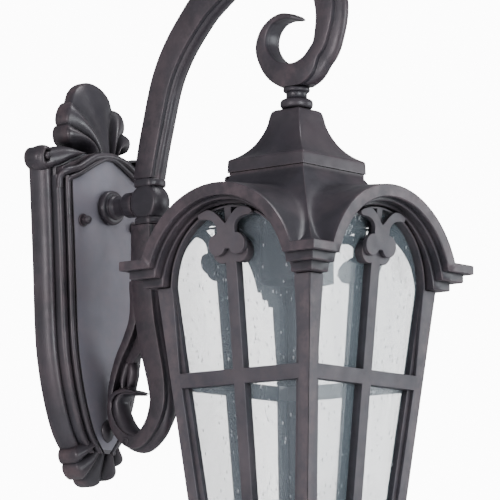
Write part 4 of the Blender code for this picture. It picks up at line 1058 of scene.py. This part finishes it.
# ---------------------------------------------------------------- cage, glass and ornament
FRAME_TOP_Z = -0.0864
FRAME_BOTTOM_Z = box_of("side_frame_front")[0].z
FRAME_TOP_HALF = 0.0928
FRAME_TAPER = 0.104
FRAME_THICK = 0.009
POST_WIDTH = 0.018
POST_FACE = 0.0128            # the post's face, in front of its narrower glazing lip
LIP_DEPTH = 0.0036
MULLION_HALF = 0.0064
RAIL_TOP_Z = -0.1665
RAIL_BOTTOM_Z = -0.1803
FRAME_FOOT = 0.014
FRAME_ARCH_OUTER = 0.0766
FRAME_ARCH_INNER = 0.0745
GLASS_THICK = 0.003
LOBE_CENTRE = (0.0100, -0.0590)
LOBE_RADIUS = 0.0110
STEM_HALF = 0.0040
GAP = 0.0003


def half_at(z):
    """Half width of the cage at a height."""
    return FRAME_TOP_HALF - FRAME_TAPER * (FRAME_TOP_Z - z)


def face_place(quarter):
    """Map (across, height, depth behind the cage's face) to space, for one face."""
    cos, sin = TURNS[quarter]

    def place(a, z, depth):
        limit = half_at(z) - depth - GAP
        x = max(-limit, min(limit, a))
        r = half_at(z) - depth
        return (x * cos + r * sin, LANTERN_Y + x * sin - r * cos, z)
    return place


def mirrored(points):
    """The same outline on the other side."""
    return [(-a, b) for a, b in reversed(points)]


def frame_loops(post):
    """Outline of one side frame and its four windows, for one width of post."""
    low, top = FRAME_BOTTOM_Z, FRAME_TOP_Z
    rise = math.degrees(math.asin((top - ARCH_Z) / FRAME_ARCH_OUTER))
    outer = [(-half_at(low), low), (half_at(low), low), (half_at(top), top)]
    outer += arc((0.0, ARCH_Z), FRAME_ARCH_OUTER, rise, 180.0 - rise, 40)
    outer += [(-half_at(top), top)]
    sill = low + FRAME_FOOT
    lower = [(MULLION_HALF, sill), (half_at(sill) - post, sill)]
    lower += [(half_at(RAIL_BOTTOM_Z) - post, RAIL_BOTTOM_Z), (MULLION_HALF, RAIL_BOTTOM_Z)]
    upper = [(MULLION_HALF, RAIL_TOP_Z), (half_at(RAIL_TOP_Z) - post, RAIL_TOP_Z)]
    if post < POST_WIDTH:
        upper.append((min(half_at(top) - post, FRAME_ARCH_INNER - 0.0012), top - 0.006))
    foot = math.degrees(math.asin((top - ARCH_Z) / FRAME_ARCH_INNER))
    crown = math.degrees(math.acos(STEM_HALF / FRAME_ARCH_INNER))
    upper += arc((0.0, ARCH_Z), FRAME_ARCH_INNER, foot, crown, 22)
    meet_stem = math.degrees(math.acos((STEM_HALF - LOBE_CENTRE[0]) / LOBE_RADIUS))
    meet_bar = math.degrees(math.acos((MULLION_HALF - LOBE_CENTRE[0]) / LOBE_RADIUS))
    upper += arc(LOBE_CENTRE, LOBE_RADIUS, meet_stem, -meet_bar, 20)
    return [outer, lower, mirrored(lower), upper, mirrored(upper)]


def side_frame(name, quarter):
    """Side frame in two layers, so that each post has a recessed glazing lip."""
    place = face_place(quarter)
    slab("frame_face_" + name, frame_loops(POST_FACE), place, 0.0, LIP_DEPTH + 0.0004, "frame",
         "lantern_body", ("side_frame_" + name,), bevel=0.0006)
    slab("frame_lip_" + name, frame_loops(POST_WIDTH), place, LIP_DEPTH, FRAME_THICK, "frame",
         "lantern_body", bevel=0.0005)


def horn_outline():
    """Right half of the ornament, from its notch at the bottom to the crotch between its horns."""
    half = [(0.0, -0.0572)] + arc((0.0118, -0.0534), 0.0100, 205.0, 455.0, 28)
    horn = mm((10.8, -42), (11, -37.5), (12.6, -34.1), (15.8, -31.3), (20, -29.6), (24.5, -28.8),
        (28.5, -28.7), (31.6, -27.8), (32.7, -25.4), (30.8, -23.3), (27, -21.8), (22.5, -20.7),
        (18, -20.7), (13.8, -22.2), (9.8, -25), (6, -28.5), (2.5, -32.2), (0, -34.2))
    return half + [tuple(row) for row in curve(horn, 4)][1:]


def tracery(name, quarter):
    """Two-horned ornament with softened edges."""
    half = horn_outline()
    slab("ornament_" + name, [half + mirrored(half[1:-1])], face_place(quarter), -0.0050, -GAP, "frame",
         "lantern_body", ("tracery_" + name,), bevel=0.0012, segments=3)


def pane(name, quarter):
    """Glass pane with an arched top, behind its frame."""
    low, top = FRAME_BOTTOM_Z + GAP, FRAME_TOP_Z - GAP
    head = FRAME_ARCH_OUTER - GAP
    rise = math.degrees(math.asin((top - ARCH_Z) / head))
    outline = [(half_at(low) - 0.013, low), (half_at(top) - 0.0145, top)]
    outline += arc((0.0, ARCH_Z), head, rise + 1.0, 179.0 - rise, 40)
    outline += [(0.0145 - half_at(top), top), (0.013 - half_at(low), low)]
    front = FRAME_THICK + GAP
    slab("pane_" + name, [outline], face_place(quarter), front, front + GLASS_THICK, "glass",
         "lantern_body", ("glass_" + name,), bevel=0.0004)


def corner_clips():
    """Bent steel clips that hold two panes in each corner."""
    outline = mm((9.5, 9.5), (12.8, 9.5), (12.8, 12.6), (26, 12.6), (26, 13.6), (13.6, 13.6), (13.6, 26),
        (12.6, 26), (12.6, 12.8), (9.5, 12.8))
    corners = (("front_right", 1, -1), ("back_right", 1, 1), ("back_left", -1, 1), ("front_left", -1, -1))
    for name, sx, sy in corners:
        def place(a, b, z, sx=sx, sy=sy):
            half = half_at(z)
            return (sx * (half - a), LANTERN_Y + sy * (half - b), z)
        slab("clip_" + name, [outline], place, RAIL_TOP_Z, RAIL_BOTTOM_Z, "steel", "lantern_body",
             ("corner_clip_" + name,), bevel=0.0002)


# ---------------------------------------------------------------- base
def base():
    """Stepped base tray, its four screws, and the finial with its nut."""
    profile = mm((0, -379), (18, -379), (30, -366), (44, -353), (52, -345), (52, -333.3), (52, -333.3),
        (68.2, -333.3), (68.2, -333.3), (68.2, -324), (68.2, -324), (70.6, -324), (71.2, -325),
        (71.3, -330.5), (72, -333.5), (74.2, -335.2), (75, -337), (75, -340.5), (74.2, -342), (70, -342.8),
        (68, -343.4), (66.5, -344.6), (66.1, -346.8), (64, -348.8), (58.5, -352.2), (53, -356), (45, -362),
        (37, -368.6), (30.5, -374.8), (25, -380), (22.2, -382.4), (20, -383), (0, -383))
    square_turned("tray", profile, "frame", "lantern_body", ("base_tray",), 3, 0.0014, sharp=48.0)
    finial_parts()
    screw = mm((0, 63.5), (1.5, 63.5), (1.5, 71.5), (1.5, 71.5), (2.8, 71.5), (3.1, 71.9), (2.8, 72.8),
        (1.6, 73.6), (1, 73.7), (0.9, 72.9), (0, 72.8))
    for name, quarter in FACES:
        cos, sin = TURNS[quarter]
        node = "base_screw_" + name

        def place(across, up, along, cos=cos, sin=sin, z=middle(node, 2)):
            return (across * cos + along * sin, LANTERN_Y + across * sin - along * cos, z + up)
        turned("tray_screw_" + name, screw, "steel", "lantern_body", (node,), place, 24, 2)


def finial_parts():
    """Turned finial under the tray, and the nut inside that holds it."""
    profile = mm((0, -373.5), (2.8, -373.5), (3, -374), (3, -383.3), (3, -383.3), (10.8, -383.3),
        (12.2, -384.1), (12.6, -385.2), (12, -386.6), (10.4, -387.5), (8.4, -388.2), (7.9, -389.2),
        (8.8, -390.6), (11.8, -392.6), (14.2, -395.5), (15, -399), (14.2, -402.2), (11.4, -405.2),
        (7.8, -407.6), (5.2, -409.4), (3.6, -410.6), (2, -411.3), (0, -411.5))
    turned("finial_knob", profile, "frame", "finial", ("finial",), ON_AXIS, 56, 4, sharp=50.0)
    low, high = box_of("finial_nut")
    hexagon_nut("finial_nut_hex", "finial_nut", "finial", ON_AXIS, low.z, high.z, 0.0060, 0.0034)


def remaining_nodes():
    """CAD nodes whose shape is right as it is: they keep it and take the finished material."""
    keep = {"wall_gasket": "foam", "stud_left": "steel", "stud_right": "steel", "earth_screw": "brass"}
    for name, look in keep.items():
        NODES[name].data.materials.clear()
        NODES[name].data.materials.append(MAT[look])


# ---------------------------------------------------------------- studio
def soft_light(name, place, aim, size, power, colour=(1.0, 1.0, 1.0)):
    """Square area light turned to a point."""
    data = bpy.data.lights.new(name, "AREA")
    data.shape = "SQUARE"
    data.size = size
    data.energy = power
    data.color = colour
    obj = bpy.data.objects.new(name, data)
    obj.location = place
    obj.rotation_euler = (Vector(aim) - Vector(place)).to_track_quat("-Z", "Y").to_euler()
    bpy.context.scene.collection.objects.link(obj)


def pale_floor(z):
    """Plain pale floor, well below the lantern."""
    bm = bmesh.new()
    bmesh.ops.create_grid(bm, x_segments=1, y_segments=1, size=6.0)
    mesh = bpy.data.meshes.new("floor")
    bm.to_mesh(mesh)
    bm.free()
    n = Nodes("pale_floor")
    n.drive("Base Color", n.mix(n.noise(1.5, 2.0), (0.86, 0.86, 0.86), (0.90, 0.90, 0.90)))
    n.set(Roughness=0.9)
    mesh.materials.append(n.material)
    obj = bpy.data.objects.new("floor", mesh)
    obj.location.z = z
    bpy.context.scene.collection.objects.link(obj)


def white_world():
    """White surround that the camera sees, and a softer one that lights the lantern."""
    world = bpy.data.worlds.new("studio")
    world.use_nodes = True
    tree = world.node_tree
    tree.nodes.clear()
    out = tree.nodes.new("ShaderNodeOutputWorld")
    seen = tree.nodes.new("ShaderNodeBackground")
    seen.inputs["Color"].default_value = (1.0, 1.0, 1.0, 1.0)
    seen.inputs["Strength"].default_value = 12.0
    lit = tree.nodes.new("ShaderNodeBackground")
    lit.inputs["Strength"].default_value = 1.0
    place = tree.nodes.new("ShaderNodeTexCoord")
    split = tree.nodes.new("ShaderNodeSeparateXYZ")
    ramp = tree.nodes.new("ShaderNodeValToRGB")
    ramp.color_ramp.elements[0].position = 0.25
    ramp.color_ramp.elements[0].color = (0.95, 0.95, 0.97, 1.0)
    ramp.color_ramp.elements[1].position = 0.85
    ramp.color_ramp.elements[1].color = (0.22, 0.22, 0.24, 1.0)
    half = tree.nodes.new("ShaderNodeMath")
    half.operation = "MULTIPLY_ADD"
    half.inputs[1].default_value = 0.5
    half.inputs[2].default_value = 0.5
    path = tree.nodes.new("ShaderNodeLightPath")
    mix = tree.nodes.new("ShaderNodeMixShader")
    tree.links.new(place.outputs["Generated"], split.inputs["Vector"])
    tree.links.new(split.outputs["Z"], half.inputs[0])
    tree.links.new(half.outputs[0], ramp.inputs["Fac"])
    tree.links.new(ramp.outputs["Color"], lit.inputs["Color"])
    tree.links.new(path.outputs["Is Camera Ray"], mix.inputs["Fac"])
    tree.links.new(lit.outputs[0], mix.inputs[1])
    tree.links.new(seen.outputs[0], mix.inputs[2])
    tree.links.new(mix.outputs[0], out.inputs["Surface"])
    bpy.context.scene.world = world


def studio():
    """Floor, surround, soft lights and the camera at the photograph's angle."""
    pale_floor(-0.95)
    white_world()
    centre = (0.0, LANTERN_Y, -0.05)
    soft_light("key", (-0.9, -2.7, 0.05), centre, 0.8, 38.0, (0.93, 0.98, 1.0))
    soft_light("right_fill", (1.8, -1.8, 0.10), centre, 1.0, 14.0, (0.91, 0.97, 1.0))
    soft_light("left_fill", (-2.7, -0.3, 0.0), centre, 0.9, 28.0, (1.0, 0.93, 0.96))
    soft_light("top", (0.4, -1.2, 2.2), centre, 1.1, 36.0, (0.97, 0.98, 1.0))
    camera = bpy.data.cameras.new("camera")
    camera.sensor_width = 36.0
    camera.lens = 253.4
    camera.clip_start = 0.05
    camera.clip_end = 40.0
    obj = bpy.data.objects.new("camera", camera)
    obj.location = (-2.5086, -2.3702, -0.5192)
    obj.rotation_euler = (math.radians(98.21), 0.0, math.radians(-49.4))
    bpy.context.scene.collection.objects.link(obj)
    bpy.context.scene.camera = obj


wall_plate()
hub_and_neck()
upper_arm()
lower_scroll()
cap_and_spindle()
lamp_holder()
roof()
for face, turn in FACES:
    side_frame(face, turn)
    tracery(face, turn)
    pane(face, turn)
corner_clips()
base()
remaining_nodes()
studio()
